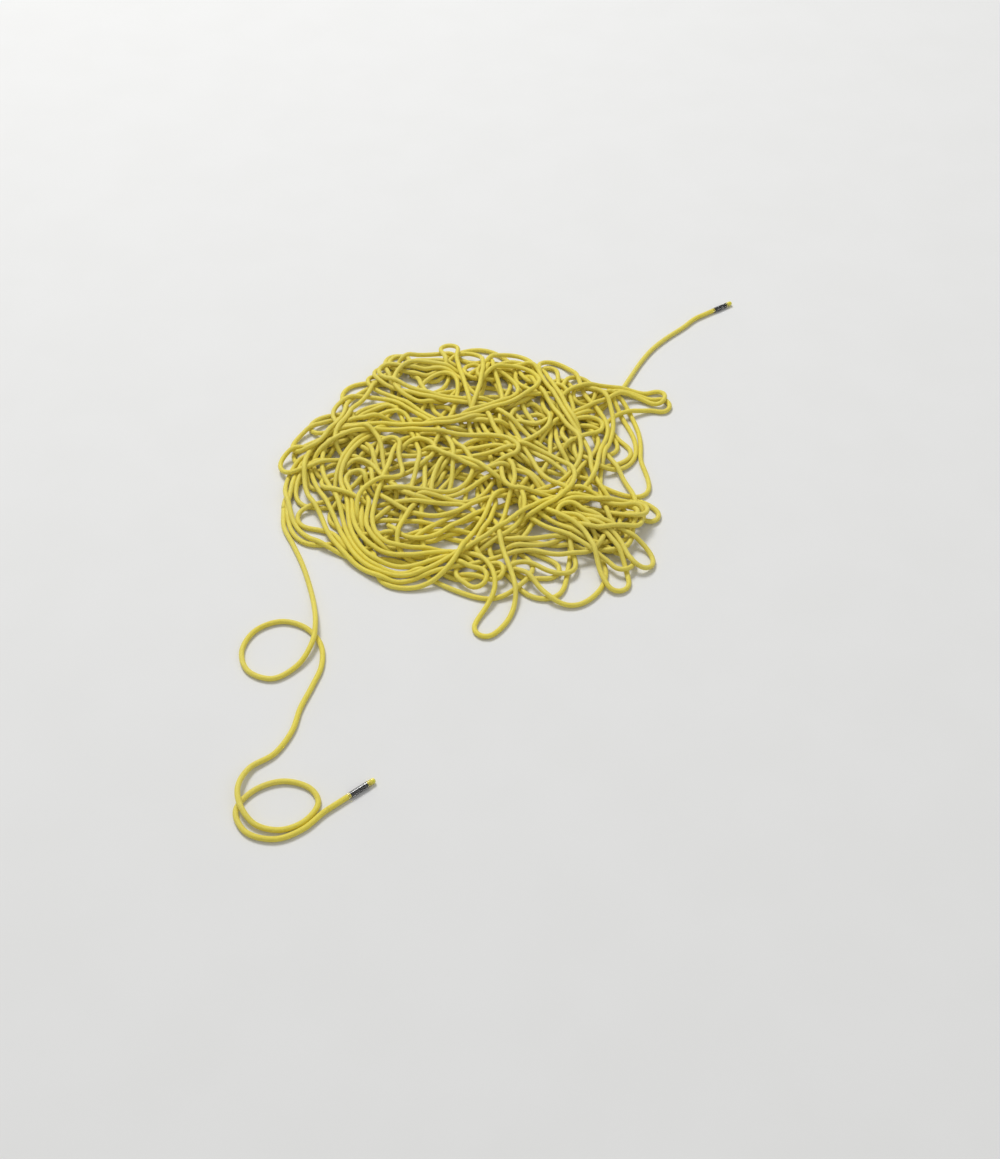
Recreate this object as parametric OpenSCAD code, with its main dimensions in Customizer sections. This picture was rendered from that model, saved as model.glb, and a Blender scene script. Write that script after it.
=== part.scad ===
// Dynamic climbing rope, dropped in a loose heap with both of its ends pulled clear.
// Millimetres, +Z up. The origin is on the ground under the middle of the whole rope.

/* [Rope] */
// Outer diameter of the rope
rope_d = 9.8; // [8.9:0.1:11]
// Wall of the braided sheath
sheath_wall = 1.0; // [0.7:0.05:1.3]
// Free play left between the packed core strands
strand_play = 0.12; // [0.05:0.01:0.25]
// Diameter of the marker yarn laid beside the core strands
marker_d = 0.5; // [0.3:0.05:0.6]

/* [Rope ends] */
// Straight length from the loose rope to the melted tip
end_len = 88; // [75:1:150]
// Bare rope left before the clear shrink tube
bare_len = 40; // [20:1:50]
// Length of the clear shrink tube
shrink_len = 44; // [35:1:48]
// Wall of the clear shrink tube
shrink_wall = 0.3; // [0.2:0.05:0.5]
// Length of the printed label band under the shrink tube
label_len = 34; // [20:1:34]
// Thickness of the label band
label_wall = 0.15; // [0.1:0.01:0.25]
// Clearance between two sleeves, one inside the other
sleeve_play = 0.05; // [0.02:0.01:0.1]
// Length of the melted tip
tip_len = 7; // [5:0.5:10]
// How far the melted tip stands proud of the sheath all round
tip_proud = 0.2; // [0:0.05:0.4]

/* [Heap] */
// Mean radius of the heap
heap_r = 365; // [320:5:400]
// Radius of the innermost loop
eye_r = 60; // [45:1:80]
// Clear height between one layer of loops and the next
layer_gap = 0.6; // [0.5:0.1:1.5]
// Middle of the heap, left to right
heap_x = -95; // [-105:1:-85]
// Middle of the heap, front to back
heap_y = 165; // [155:1:175]

/* [Hidden] */
ENDS = ["near", "far"];
CORE_STRANDS = 12;
INNER_STRANDS = 3;
OUTER_STRANDS = CORE_STRANDS - INNER_STRANDS;
function end_nodes(end) = concat(
    [str(end, "_sheath_end")],
    [for (i = [1:CORE_STRANDS]) str(end, "_core_strand_", i)],
    [for (piece = ["_marker_yarn", "_label_band", "_shrink_tube", "_melted_tip"]) str(end, piece)]
);

$fn = 64;
rope_color = [0.86, 0.78, 0.20];
core_color = [0.93, 0.93, 0.90];
marker_color = [0.20, 0.45, 0.75];
label_color = [0.06, 0.06, 0.07];
shrink_color = [0.85, 0.88, 0.90, 0.35];
tip_color = [0.80, 0.72, 0.16];

rope_r = rope_d / 2;
bore_r = rope_r - sheath_wall;
label_r = rope_r + sleeve_play + label_wall;
shrink_bore_r = label_r + sleeve_play;
shrink_r = shrink_bore_r + shrink_wall;
dome_steps = 5;

// Twelve strands pack as a ring of nine round a ring of three.
inner_ring_share = 1.1547;
outer_ring_share = 3.06;
strand_r = (bore_r - strand_play) / (outer_ring_share + 1);

// Where each straight end starts, and which way it points, in degrees from +X.
near_end_at = [-314, -658];
near_end_heading = 38.5;
far_end_at = [420, 664];
far_end_heading = 33;

// Routes of the two tails, from the heap outwards: across, back, and the height above
// the ground-lying line in rope diameters, 1 where the rope lies over itself.
near_route = [
    [-458, 45, 0], [-452, -5, 0], [-430, -52, 0], [-408, -102, 0], [-390, -155, 0],
    [-376, -208, 0.3], [-368, -260, 1.05], [-370, -306, 1], [-392, -352, 0.2], [-434, -382, 0],
    [-480, -365, 0], [-497, -318, 0], [-478, -270, 0], [-434, -248, 0], [-388, -262, 0],
    [-356, -302, 0], [-350, -352, 0], [-363, -400, 0], [-379, -448, 0], [-389, -498, 0],
    [-414, -545, 0], [-452, -576, 0.3], [-466, -618, 1.05], [-457, -658, 1.05], [-430, -689, 0.3],
    [-388, -698, 0.1], [-350, -680, 0], [-331, -645, 0], [-350, -614, 0], [-395, -602, 0],
    [-440, -620, 0], [-466, -660, 0], [-444, -702, 0], [-396, -715, 0], [-352, -696, 0]
];
far_route = [
    [235, 415, 0], [257, 460, 0], [280, 505, 0], [307, 548, 0], [340, 586, 0], [380, 624, 0]
];
// The top loop's way down the outside of the heap to where the far tail starts.
way_down = [[80, 478, 2.6], [134, 450, 1.8], [172, 416, 1.05], [198, 401, 0.5], [217, 400, 0.15]];
tail_steps = 2;
tail_sides = 8;

// The heap: one unbroken tube that spirals in, out, in and out again.
layers = 4;
rings_per_loop = 24;
layer_rings = 140;
climb_rings = 12;
pile_sides = 6;
first_heading = 190.5;
flat_depth = rope_d / 10;
layer_rise = rope_d + layer_gap;
winding_rings = layer_rings - climb_rings;

// Radius of the heap every 30 degrees from +X, as shares of heap_r.
heap_outline = [1.00, 0.90, 0.93, 1.02, 1.03, 0.98, 1.00, 0.98, 0.95, 0.97, 1.03, 1.05];
outline_step = 30;
// For each layer: its eye across and back, then the number, size and direction of its waves.
layer_forms = [
    [45, -35, 2, 42, 20],
    [45, -35, 3, 38, 70],
    [-50, 40, 2, 44, 100],
    [-50, 40, 3, 40, 10]
];
// Loops that stick out of the heap: the ring at a loop's tip, and how far it reaches from the
// middle of the heap, as a share of heap_r.
stray_loops = [
    [7, 1.05], [17, 1.16], [258, 1.24], [269, 1.10], [275, 1.30], [278, 1.11], [279, 1.22],
    [289, 1.07], [544, 1.25], [554, 1.03], [558, 1.06]
];

function unit(v) = v / norm(v);
function mix(a, b, share) = a + (b - a) * share;
function smooth(share) = share * share * (3 - 2 * share);
function heading(angle) = [cos(angle), sin(angle), 0];
function turned(angle) = angle - 360 * floor(angle / 360);
function sum(list) = len(list) == 0 ? 0 : [for (item = list) 1] * list;

// A tube round a route, as points and triangles. Each ring stands square to the route.
function ring(centre, along, sides) =
    let(side = unit(cross(along, [0, 0, 1])), up = cross(side, along))
    [for (i = [0:sides - 1])
        centre + rope_r * (cos(90 + 360 * i / sides) * side + sin(90 + 360 * i / sides) * up)];

function along_at(path, i) = unit(path[min(i + 1, len(path) - 1)] - path[max(i - 1, 0)]);

function tube_faces(rings, sides) =
    let(last = (rings - 1) * sides)
    concat(
        [for (i = [1:sides - 2]) [0, i, i + 1]],
        [for (i = [1:sides - 2]) [last, last + i + 1, last + i]],
        [for (k = [0:rings - 2], i = [0:sides - 1], half = [0, 1])
            let(j = (i + 1) % sides, a = k * sides, b = a + sides)
            half == 0 ? [a + i, b + i, b + j] : [a + i, b + j, a + j]]
    );

module tube(path, start, end, sides) {
    last = len(path) - 1;
    points = [for (i = [0:last], p = ring(path[i], i == 0 ? start : i == last ? end
        : along_at(path, i), sides)) p];
    polyhedron(points, tube_faces(len(path), sides), convexity = 10);
}

// A tail's route in space, smoothed through its points.
function lay(p) = [p.x, p.y, rope_r + p.z * rope_d];
function curve(a, b, c, d, t) =
    0.5 * (2 * b + (c - a) * t + (2 * a - 5 * b + 4 * c - d) * t * t + (3 * b - a - 3 * c + d) * t * t * t);
function smoothed(route, start, end, end_at) =
    let(
        points = concat([for (p = route) lay(p)], [end_at]),
        n = len(points) - 1,
        before = points[0] - start * norm(points[1] - points[0]),
        after = end_at + end * norm(points[n] - points[n - 1]),
        all = concat([before], points, [after])
    )
    concat([for (i = [0:n - 1], k = [0:tail_steps - 1])
        let(p = curve(all[i], all[i + 1], all[i + 2], all[i + 3], k / tail_steps))
        [p.x, p.y, max(p.z, rope_r)]], [end_at]);

near_start = unit(lay(near_route[1]) - lay(near_route[0]));
far_start = unit(lay(far_route[1]) - lay(far_route[0]));
function end_point(at) = [at.x, at.y, shrink_r];

// One ring of the heap's spiral.
function outline_at(angle) =
    let(
        step = turned(angle) / outline_step,
        i = floor(step),
        n = len(heap_outline)
    )
    heap_r * mix(heap_outline[i % n], heap_outline[(i + 1) % n], smooth(step - i));

function tip_reach(k) = [for (loop = stray_loops) if (loop[0] == k) loop[1] * heap_r];

function loop_point(layer, angle, share) =
    let(
        form = layer_forms[layer],
        wave = form[3] * sin(180 * share) * cos(form[2] * (angle - form[4])),
        r = mix(eye_r, outline_at(angle), share) + wave,
        middle = [heap_x, heap_y] + (1 - share) * [form[0], form[1]]
    )
    [middle.x + r * cos(angle), middle.y + r * sin(angle),
        rope_r - flat_depth + layer * layer_rise];

function pile_ring(k) =
    let(
        angle = first_heading - 360 * k / rings_per_loop,
        layer = min(floor(k / layer_rings), layers - 1),
        step = k - layer * layer_rings,
        wound = min(step / winding_rings, 1),
        share = layer % 2 == 0 ? 1 - wound : wound,
        climb = layer == layers - 1 ? 0 : smooth(max(0, step - winding_rings) / climb_rings),
        here = loop_point(layer, angle, share),
        point = climb == 0 ? here : mix(here, loop_point(layer + 1, angle, share), climb),
        reach = tip_reach(k)
    )
    len(reach) == 0 ? point
        : [heap_x + reach[0] * cos(angle), heap_y + reach[0] * sin(angle), point.z];

near_joint = lay(near_route[0]);
far_joint = lay(far_route[0]);
pile_path = concat(
    [near_joint, near_joint - rope_d * near_start],
    [for (k = [0:layers * layer_rings]) pile_ring(k)],
    [for (p = way_down) lay(p)],
    [far_joint - rope_d * far_start, far_joint]
);

// Clear distance between two straight pieces of rope, a to b and c to d.
function limit(x) = max(0, min(1, x));
function piece_gap(a, b, c, d) =
    let(
        u = b - a, v = d - c, w = a - c,
        uu = u * u, uv = u * v, vv = v * v, uw = u * w, vw = v * w,
        flat = uu * vv - uv * uv,
        s0 = flat < 0.001 ? 0 : limit((uv * vw - vv * uw) / flat),
        t = limit((uv * s0 + vw) / vv),
        s = limit((uv * t - uw) / uu)
    )
    norm(w + s * u - t * v) - rope_d;

function least_gap(path) =
    let(
        n = len(path) - 2,
        middles = [for (i = [0:n]) (path[i] + path[i + 1]) / 2],
        lengths = [for (i = [0:n]) norm(path[i + 1] - path[i])],
        reach = max(lengths) + rope_d
    )
    min([for (i = [0:n - 3], j = [i + 3:n]) if (norm(middles[i] - middles[j]) < reach)
        piece_gap(path[i], path[i + 1], path[j], path[j + 1])]);

function path_length(path) = sum([for (i = [1:len(path) - 1]) norm(path[i] - path[i - 1])]);

module near_tail() {
    color(rope_color)
        tube(smoothed(near_route, near_start, heading(near_end_heading), end_point(near_end_at)),
            near_start, heading(near_end_heading), tail_sides);
}

module far_tail() {
    color(rope_color)
        tube(smoothed(far_route, far_start, heading(far_end_heading), end_point(far_end_at)),
            far_start, heading(far_end_heading), tail_sides);
}

module rope_pile() {
    echo(least_gap_of_heap_mm = least_gap(pile_path), heap_path_mm = path_length(pile_path));
    ground = 4 * heap_r;
    color(rope_color)
        difference() {
            tube(pile_path, -near_start, far_start, pile_sides);
            translate([heap_x - ground / 2, heap_y - ground / 2, -rope_d])
                cube([ground, ground, rope_d]);
        }
}

// The straight rope ends. Each is drawn along +Z, from the loose rope to its tip.
module place(end) {
    at = end == "near" ? near_end_at : far_end_at;
    angle = end == "near" ? near_end_heading : far_end_heading;
    translate(end_point(at)) rotate([0, 90, angle]) children();
}

module sleeve(from, length, inner, outer) {
    translate([0, 0, from])
        difference() {
            cylinder(h = length, r = outer);
            translate([0, 0, -length]) cylinder(h = 3 * length, r = inner);
        }
}

module sheath_end() {
    color(rope_color) sleeve(0, end_len, bore_r, rope_r);
}

module core_strand(i) {
    inside = i <= INNER_STRANDS;
    ring_r = strand_r * (inside ? inner_ring_share : outer_ring_share) + (inside ? strand_play / 4 : 0);
    angle = inside ? 20 + 360 * i / INNER_STRANDS : 360 * i / OUTER_STRANDS;
    color(core_color) rotate(angle) translate([ring_r, 0, 0]) cylinder(h = end_len, r = strand_r);
}

module marker_yarn() {
    angle = 180 / OUTER_STRANDS;
    color(marker_color)
        rotate(angle) translate([bore_r - marker_d / 2 - strand_play / 4, 0, 0])
            cylinder(h = end_len, d = marker_d, $fn = 24);
}

module label_band() {
    color(label_color)
        sleeve(bare_len + (shrink_len - label_len) / 2, label_len, rope_r + sleeve_play, label_r);
}

module shrink_tube() {
    color(shrink_color) sleeve(bare_len, shrink_len, shrink_bore_r, shrink_r);
}

module melted_tip() {
    r = rope_r + tip_proud;
    dome = tip_len / 2;
    angles = [for (i = [0:dome_steps - 1]) 90 * i / dome_steps];
    color(tip_color)
        translate([0, 0, end_len])
            rotate_extrude()
                polygon(concat(
                    [[0, 0], [r, 0]],
                    [for (a = angles) [r * cos(a), tip_len - dome + dome * sin(a)]],
                    [[0, tip_len]]
                ));
}

near_tail();
rope_pile();
far_tail();
for (end = ENDS) {
    place(end) sheath_end();
    for (i = [1:CORE_STRANDS])
        place(end) core_strand(i);
    place(end) marker_yarn();
    place(end) label_band();
    place(end) shrink_tube();
    place(end) melted_tip();
}
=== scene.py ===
import math

import bpy
import numpy as np
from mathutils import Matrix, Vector


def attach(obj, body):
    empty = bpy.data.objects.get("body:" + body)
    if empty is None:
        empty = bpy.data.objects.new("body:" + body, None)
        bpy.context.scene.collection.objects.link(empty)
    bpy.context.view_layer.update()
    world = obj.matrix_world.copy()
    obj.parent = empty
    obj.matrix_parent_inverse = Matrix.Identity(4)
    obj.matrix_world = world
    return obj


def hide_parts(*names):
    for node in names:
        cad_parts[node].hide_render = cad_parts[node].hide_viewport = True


# Dynamic climbing rope, dropped in a loose heap with both of its ends pulled clear.
# Routes and sizes are in millimetres and turn into metres where the meshes are made.

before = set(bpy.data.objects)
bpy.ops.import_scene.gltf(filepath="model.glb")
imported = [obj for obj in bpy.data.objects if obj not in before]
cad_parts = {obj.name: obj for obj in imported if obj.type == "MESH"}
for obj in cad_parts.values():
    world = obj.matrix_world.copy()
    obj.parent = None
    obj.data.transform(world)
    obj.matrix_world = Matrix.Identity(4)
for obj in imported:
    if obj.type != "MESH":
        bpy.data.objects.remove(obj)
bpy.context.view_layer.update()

MM = 0.001
ROPE_D = 9.8
ROPE_R = ROPE_D / 2
SHEATH_WALL = 1.0
BORE_R = ROPE_R - SHEATH_WALL
STRAND_PLAY = 0.12
MARKER_D = 0.5
END_LEN = 88
BARE_LEN = 40
SHRINK_LEN = 44
SHRINK_WALL = 0.3
LABEL_LEN = 34
LABEL_WALL = 0.15
SLEEVE_PLAY = 0.05
TIP_LEN = 7
TIP_PROUD = 0.2
LABEL_R = ROPE_R + SLEEVE_PLAY + LABEL_WALL
SHRINK_BORE_R = LABEL_R + SLEEVE_PLAY
SHRINK_R = SHRINK_BORE_R + SHRINK_WALL

# The heap's rope as planned flat; climbing over itself takes up about 0.4 m more.
ROPE_LEN_IN_HEAP = 57330
# Sheath yarns that wind each way, and the length in which a yarn goes once round.
CARRIERS = 24
YARN_TURN = 42 * MM

# ---------------------------------------------------------------- routes of the two tails

NEAR_END_AT = (-314, -658)
NEAR_END_HEADING = 38.5
FAR_END_AT = (420, 664)
FAR_END_HEADING = 33

# From the heap outwards: across, back, and the height in rope diameters.
NEAR_ROUTE = [
    (-458, 45, 0), (-452, -5, 0), (-430, -52, 0), (-408, -102, 0), (-390, -155, 0),
    (-376, -208, 0.3), (-368, -260, 1.05), (-370, -306, 1), (-392, -352, 0.2), (-434, -382, 0),
    (-480, -365, 0), (-497, -318, 0), (-478, -270, 0), (-434, -248, 0), (-388, -262, 0),
    (-356, -302, 0), (-350, -352, 0), (-363, -400, 0), (-379, -448, 0), (-389, -498, 0),
    (-414, -545, 0), (-452, -576, 0.3), (-466, -618, 1.05), (-457, -658, 1.05), (-430, -689, 0.3),
    (-388, -698, 0.1), (-350, -680, 0), (-331, -645, 0), (-350, -614, 0), (-395, -602, 0),
    (-440, -620, 0), (-466, -660, 0), (-444, -702, 0), (-396, -715, 0), (-352, -696, 0),
]
FAR_ROUTE = [
    (235, 415, 0), (257, 460, 0), (280, 505, 0), (307, 548, 0), (340, 586, 0), (380, 624, 0),
]

# Strands of the heap that show, each with its level, 3 low to 8 on top, and its points.
STRANDS = [
    (5, [(-300, 430), (-330, 427), (-352, 418), (-366, 400), (-367, 380), (-360, 358), (-349, 338),
        (-338, 322), (-332, 300)]),
    (6, [(-300, 425), (-318, 407), (-335, 388), (-347, 366), (-352, 340), (-352, 315), (-357, 290),
        (-365, 265), (-377, 240), (-393, 215), (-412, 201), (-432, 196), (-448, 201), (-456, 215),
        (-455, 238), (-443, 260), (-428, 278), (-410, 294), (-385, 308), (-360, 318)]),
    (6, [(-355, 272), (-368, 290), (-379, 308), (-381, 328), (-374, 348), (-358, 364), (-335, 374),
        (-308, 376), (-283, 369), (-258, 357), (-235, 340), (-212, 322), (-190, 302), (-170, 285)]),
    (7, [(-303, 405), (-306, 385), (-314, 362), (-325, 343), (-336, 325), (-342, 302), (-352, 282),
        (-362, 262), (-372, 240)]),
    (5, [(-335, 330), (-360, 330), (-385, 326), (-408, 318), (-424, 302), (-428, 284), (-418, 269),
        (-395, 261), (-368, 262), (-340, 269), (-310, 277), (-275, 279), (-230, 275), (-180, 272),
        (-130, 274), (-85, 285), (-50, 300)]),
    (3, [(-238, 460), (-262, 468), (-270, 485), (-266, 505), (-252, 512), (-240, 500), (-232, 485)]),
    (6, [(-268, 440), (-277, 462), (-279, 485), (-275, 508), (-262, 523), (-246, 519), (-233, 505),
        (-222, 490), (-205, 478)]),
    (5, [(-262, 485), (-283, 480), (-298, 466), (-305, 448), (-300, 428), (-286, 411), (-262, 396),
        (-235, 383), (-205, 370), (-175, 358), (-140, 350), (-100, 347), (-65, 340)]),
    (6, [(-300, 448), (-316, 442), (-316, 425), (-303, 406), (-280, 390), (-252, 372), (-226, 352),
        (-205, 335), (-185, 318), (-165, 300), (-148, 283)]),
    (7, [(-272, 470), (-292, 455), (-293, 437), (-280, 420), (-255, 404), (-228, 388), (-200, 376),
        (-165, 362), (-130, 357), (-95, 352)]),
    (6, [(-150, 472), (-185, 482), (-218, 478), (-240, 465), (-253, 443), (-255, 420), (-248, 400),
        (-234, 382), (-212, 366)]),
    (4, [(-240, 485), (-215, 496), (-190, 506), (-165, 512), (-145, 512)]),
    (5, [(-225, 488), (-195, 492), (-165, 495), (-142, 490), (-125, 478)]),
    (8, [(-146, 480), (-149, 505), (-148, 530), (-141, 547), (-133, 533), (-126, 508), (-117, 478),
        (-111, 450), (-106, 420), (-101, 388), (-97, 350), (-92, 320)]),
    (6, [(-146, 498), (-141, 470), (-139, 443), (-144, 418), (-156, 398), (-172, 385)]),
    (7, [(-200, 418), (-186, 436), (-160, 451), (-137, 450), (-123, 437), (-118, 412), (-119, 385),
        (-123, 352), (-127, 325)]),
    (4, [(-218, 475), (-207, 455), (-203, 430), (-197, 408), (-188, 385)]),
    (4, [(-140, 515), (-125, 530), (-104, 540), (-78, 545), (-53, 540), (-33, 526), (-16, 508), (-5, 490)]),
    (6, [(-135, 505), (-118, 520), (-95, 522), (-76, 513), (-64, 497), (-60, 475), (-57, 450), (-60, 425),
        (-64, 400), (-70, 370), (-77, 340), (-85, 312)]),
    (3, [(-62, 470), (-75, 487), (-92, 486), (-105, 474), (-110, 455), (-102, 436), (-85, 427), (-65, 440)]),
    (4, [(-52, 470), (-68, 462), (-85, 450), (-100, 437), (-108, 420)]),
    (4, [(-60, 440), (-50, 470), (-38, 490), (-20, 503), (2, 508), (22, 500), (36, 485), (46, 464),
        (50, 440)]),
    (3, [(-55, 455), (-35, 474), (-10, 483), (16, 482), (35, 473), (52, 458)]),
    (6, [(-65, 430), (-48, 450), (-22, 463), (5, 467), (30, 456), (45, 432), (52, 405), (48, 383),
        (32, 365), (8, 347), (-25, 328), (-62, 312), (-100, 298), (-140, 286), (-175, 280)]),
    (7, [(-60, 455), (-32, 449), (-10, 433), (5, 412), (12, 390), (7, 367), (-10, 349), (-38, 334),
        (-68, 318), (-105, 308)]),
    (5, [(-58, 470), (-50, 442), (-42, 417), (-34, 392), (-30, 365), (-28, 340), (-32, 315)]),
    (4, [(0, 462), (3, 440), (12, 420), (25, 405), (40, 398), (52, 388)]),
    (3, [(-12, 440), (-5, 415), (-12, 392), (-18, 372), (-30, 352)]),
    (6, [(50, 450), (47, 472), (56, 492), (78, 501), (100, 493), (118, 476), (132, 455), (140, 430),
        (143, 405), (150, 378), (163, 350), (176, 322), (188, 292), (196, 262), (192, 238), (180, 212),
        (172, 188), (167, 160), (162, 135), (154, 110), (140, 92), (126, 74), (112, 55)]),
    (4, [(58, 470), (70, 485), (84, 482), (94, 468), (97, 445), (97, 420), (97, 395), (93, 370)]),
    (5, [(98, 380), (100, 405), (106, 428), (121, 444), (140, 449), (155, 439), (168, 421), (180, 404),
        (200, 392)]),
    (4, [(112, 432), (122, 418), (135, 412), (150, 405), (168, 402)]),
    (7, [(105, 372), (125, 388), (150, 390), (180, 397), (210, 402), (240, 402), (268, 395), (295, 392),
        (317, 390), (328, 381), (318, 372), (295, 374), (265, 384), (240, 390), (222, 380), (205, 364),
        (185, 350), (168, 336), (148, 326), (130, 316), (112, 305)]),
    (6, [(215, 398), (238, 396), (262, 386), (285, 374), (308, 366), (328, 364), (336, 357), (326, 350),
        (300, 345), (270, 338), (245, 332), (220, 322), (200, 308), (185, 292)]),
    (4, [(112, 392), (119, 368), (124, 340), (124, 312), (122, 288)]),
    (5, [(183, 385), (195, 362), (200, 335), (203, 308), (202, 280), (196, 250)]),
    (4, [(205, 385), (216, 360), (224, 335), (232, 308), (243, 280), (251, 250), (253, 220), (248, 195),
        (232, 172), (210, 159), (188, 155), (168, 160)]),
    (6, [(222, 375), (235, 352), (244, 328), (251, 300), (257, 272), (258, 242), (256, 212), (253, 190),
        (260, 165), (266, 140), (269, 115), (268, 96), (257, 82), (238, 78), (212, 86), (188, 98),
        (165, 111), (145, 120)]),
    (7, [(46, 455), (56, 425), (68, 398), (82, 368), (95, 335), (108, 303), (122, 272), (137, 243),
        (147, 212), (151, 180), (150, 150), (157, 122), (165, 98), (177, 72), (190, 50)]),
    (6, [(38, 440), (50, 412), (60, 385), (72, 355), (85, 322), (98, 292), (113, 265), (128, 240),
        (137, 210), (139, 180), (134, 155), (121, 133), (104, 112), (84, 97), (60, 88)]),
    (4, [(60, 455), (70, 425), (86, 392), (100, 360), (110, 330), (122, 298), (134, 268)]),
    (3, [(130, 300), (150, 300), (172, 290), (185, 272), (170, 255), (148, 248), (132, 235)]),
    (3, [(150, 282), (168, 272), (190, 268), (205, 250), (212, 228), (205, 210), (186, 203)]),
    (5, [(163, 262), (172, 243), (172, 222), (162, 205), (150, 185), (135, 165)]),
    (6, [(203, 275), (212, 250), (226, 235), (240, 218), (241, 200), (230, 184), (212, 173), (190, 166),
        (165, 163)]),
    (7, [(176, 215), (188, 192), (203, 163), (214, 134), (225, 106), (234, 82), (239, 58), (240, 35),
        (232, 15)]),
    (5, [(215, 62), (238, 70), (257, 64), (272, 48), (282, 28), (279, 13), (262, 9), (240, 14), (215, 25)]),
    (6, [(60, 22), (85, 32), (115, 41), (150, 44), (190, 43), (222, 41), (245, 33), (257, 18), (250, 3),
        (230, -3), (208, 2), (190, 15), (170, 28)]),
    (5, [(75, 50), (110, 52), (145, 50), (180, 36), (205, 26), (232, 24), (250, 10)]),
    (5, [(130, 32), (150, 26), (162, 12), (160, -6), (146, -18), (130, -22)]),
    (5, [(185, 75), (199, 62), (208, 45), (212, 25), (222, 5)]),
    (4, [(188, 28), (192, 5), (194, -18), (200, -36)]),
    (3, [(112, 80), (132, 80), (150, 70), (166, 54), (180, 45)]),
    (6, [(-405, 212), (-432, 210), (-455, 203), (-470, 188), (-477, 166), (-470, 146), (-452, 137),
        (-432, 140), (-415, 150), (-393, 161), (-368, 169), (-343, 174), (-318, 170)]),
    (4, [(-450, 205), (-438, 220), (-416, 230), (-392, 236), (-368, 236)]),
    (4, [(-412, 200), (-428, 186), (-440, 165), (-448, 142), (-452, 115), (-451, 85), (-446, 55),
        (-438, 28), (-428, 2), (-412, -22), (-390, -42), (-368, -57), (-342, -70), (-318, -86)]),
    (3, [(-440, 150), (-447, 125), (-450, 95), (-452, 65), (-448, 30), (-440, -5), (-428, -30),
        (-410, -46), (-386, -53), (-360, -50)]),
    (5, [(-405, 170), (-425, 148), (-437, 120), (-441, 92), (-436, 68), (-422, 52), (-400, 48)]),
    (7, [(-420, 195), (-421, 165), (-421, 132), (-418, 102), (-410, 75), (-396, 52), (-382, 30),
        (-372, 5), (-362, -22), (-350, -48), (-335, -75), (-315, -101), (-290, -122), (-265, -138),
        (-240, -150)]),
    (6, [(-425, 158), (-413, 132), (-401, 108), (-388, 85), (-374, 62), (-362, 35), (-352, 8),
        (-343, -20), (-332, -48), (-316, -78), (-295, -105), (-268, -128), (-240, -140), (-212, -146),
        (-185, -142), (-158, -132), (-132, -115), (-105, -94), (-80, -76), (-58, -63), (-36, -51),
        (-14, -33), (6, -12), (28, 6), (48, 22)]),
    (5, [(-398, 200), (-397, 170), (-393, 142), (-385, 115), (-370, 90), (-355, 68), (-345, 40),
        (-338, 10), (-330, -20), (-318, -50), (-302, -78), (-282, -102), (-258, -120), (-230, -130)]),
    (5, [(-372, 62), (-395, 50), (-416, 44), (-431, 28), (-431, 8), (-417, -7), (-392, -12), (-366, -18),
        (-345, -35), (-330, -60)]),
    (8, [(-400, 190), (-378, 212), (-358, 226), (-335, 240), (-310, 251), (-280, 257), (-245, 260),
        (-205, 257), (-165, 250), (-130, 243), (-95, 238), (-60, 230), (-28, 220), (-4, 208), (9, 194),
        (10, 178), (0, 164), (-20, 153), (-42, 143), (-62, 136)]),
    (7, [(-300, 255), (-318, 236), (-332, 212), (-341, 186), (-347, 160), (-353, 132), (-356, 105)]),
    (8, [(-288, 250), (-308, 230), (-324, 208), (-337, 185), (-346, 155), (-351, 125), (-347, 98),
        (-338, 72), (-330, 45), (-326, 15), (-322, -15), (-312, -45), (-297, -75), (-275, -98),
        (-248, -112), (-215, -119), (-182, -117), (-155, -108), (-130, -96)]),
    (8, [(-300, 112), (-313, 132), (-328, 133), (-336, 118), (-333, 97), (-325, 75), (-318, 50),
        (-315, 20), (-310, -10), (-298, -38), (-282, -62), (-260, -80), (-232, -90), (-200, -93),
        (-165, -92), (-132, -86)]),
    (8, [(-275, 205), (-266, 226), (-252, 238), (-243, 222), (-240, 198), (-236, 172), (-229, 148),
        (-226, 124), (-236, 112), (-258, 103), (-282, 96), (-302, 80), (-314, 58), (-316, 30)]),
    (7, [(-240, 215), (-246, 185), (-253, 152), (-260, 122), (-264, 98), (-270, 70), (-276, 42),
        (-279, 12), (-277, -18), (-268, -45), (-248, -66), (-220, -76), (-185, -76), (-150, -75),
        (-120, -74), (-98, -66)]),
    (6, [(-345, 150), (-325, 171), (-306, 166), (-288, 151), (-275, 134), (-263, 115), (-252, 95),
        (-240, 78)]),
    (4, [(-305, 215), (-292, 190), (-290, 165), (-280, 140), (-268, 112)]),
    (4, [(-280, 225), (-272, 195), (-268, 165), (-262, 140), (-250, 118)]),
    (3, [(-390, 100), (-365, 98), (-345, 82), (-335, 62), (-348, 45)]),
    (5, [(-370, 130), (-385, 110), (-378, 85), (-355, 72), (-330, 68), (-308, 55)]),
    (5, [(-300, 75), (-292, 50), (-296, 20), (-298, -8), (-290, -32), (-274, -55), (-252, -72)]),
    (4, [(-310, 55), (-308, 25), (-303, -5), (-295, -30)]),
    (6, [(-245, 195), (-228, 222), (-205, 232), (-184, 228), (-169, 214), (-163, 194), (-168, 175),
        (-181, 160), (-201, 148), (-226, 140), (-248, 138)]),
    (3, [(-240, 185), (-215, 182), (-190, 180), (-168, 188)]),
    (3, [(-242, 165), (-215, 168), (-190, 172), (-170, 165)]),
    (6, [(-200, 225), (-193, 196), (-188, 176), (-192, 155), (-197, 128), (-203, 100), (-206, 75)]),
    (4, [(-178, 175), (-181, 150), (-180, 125), (-178, 100), (-180, 75)]),
    (7, [(-138, 238), (-129, 212), (-126, 185), (-127, 155), (-128, 125), (-133, 98), (-141, 75)]),
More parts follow.
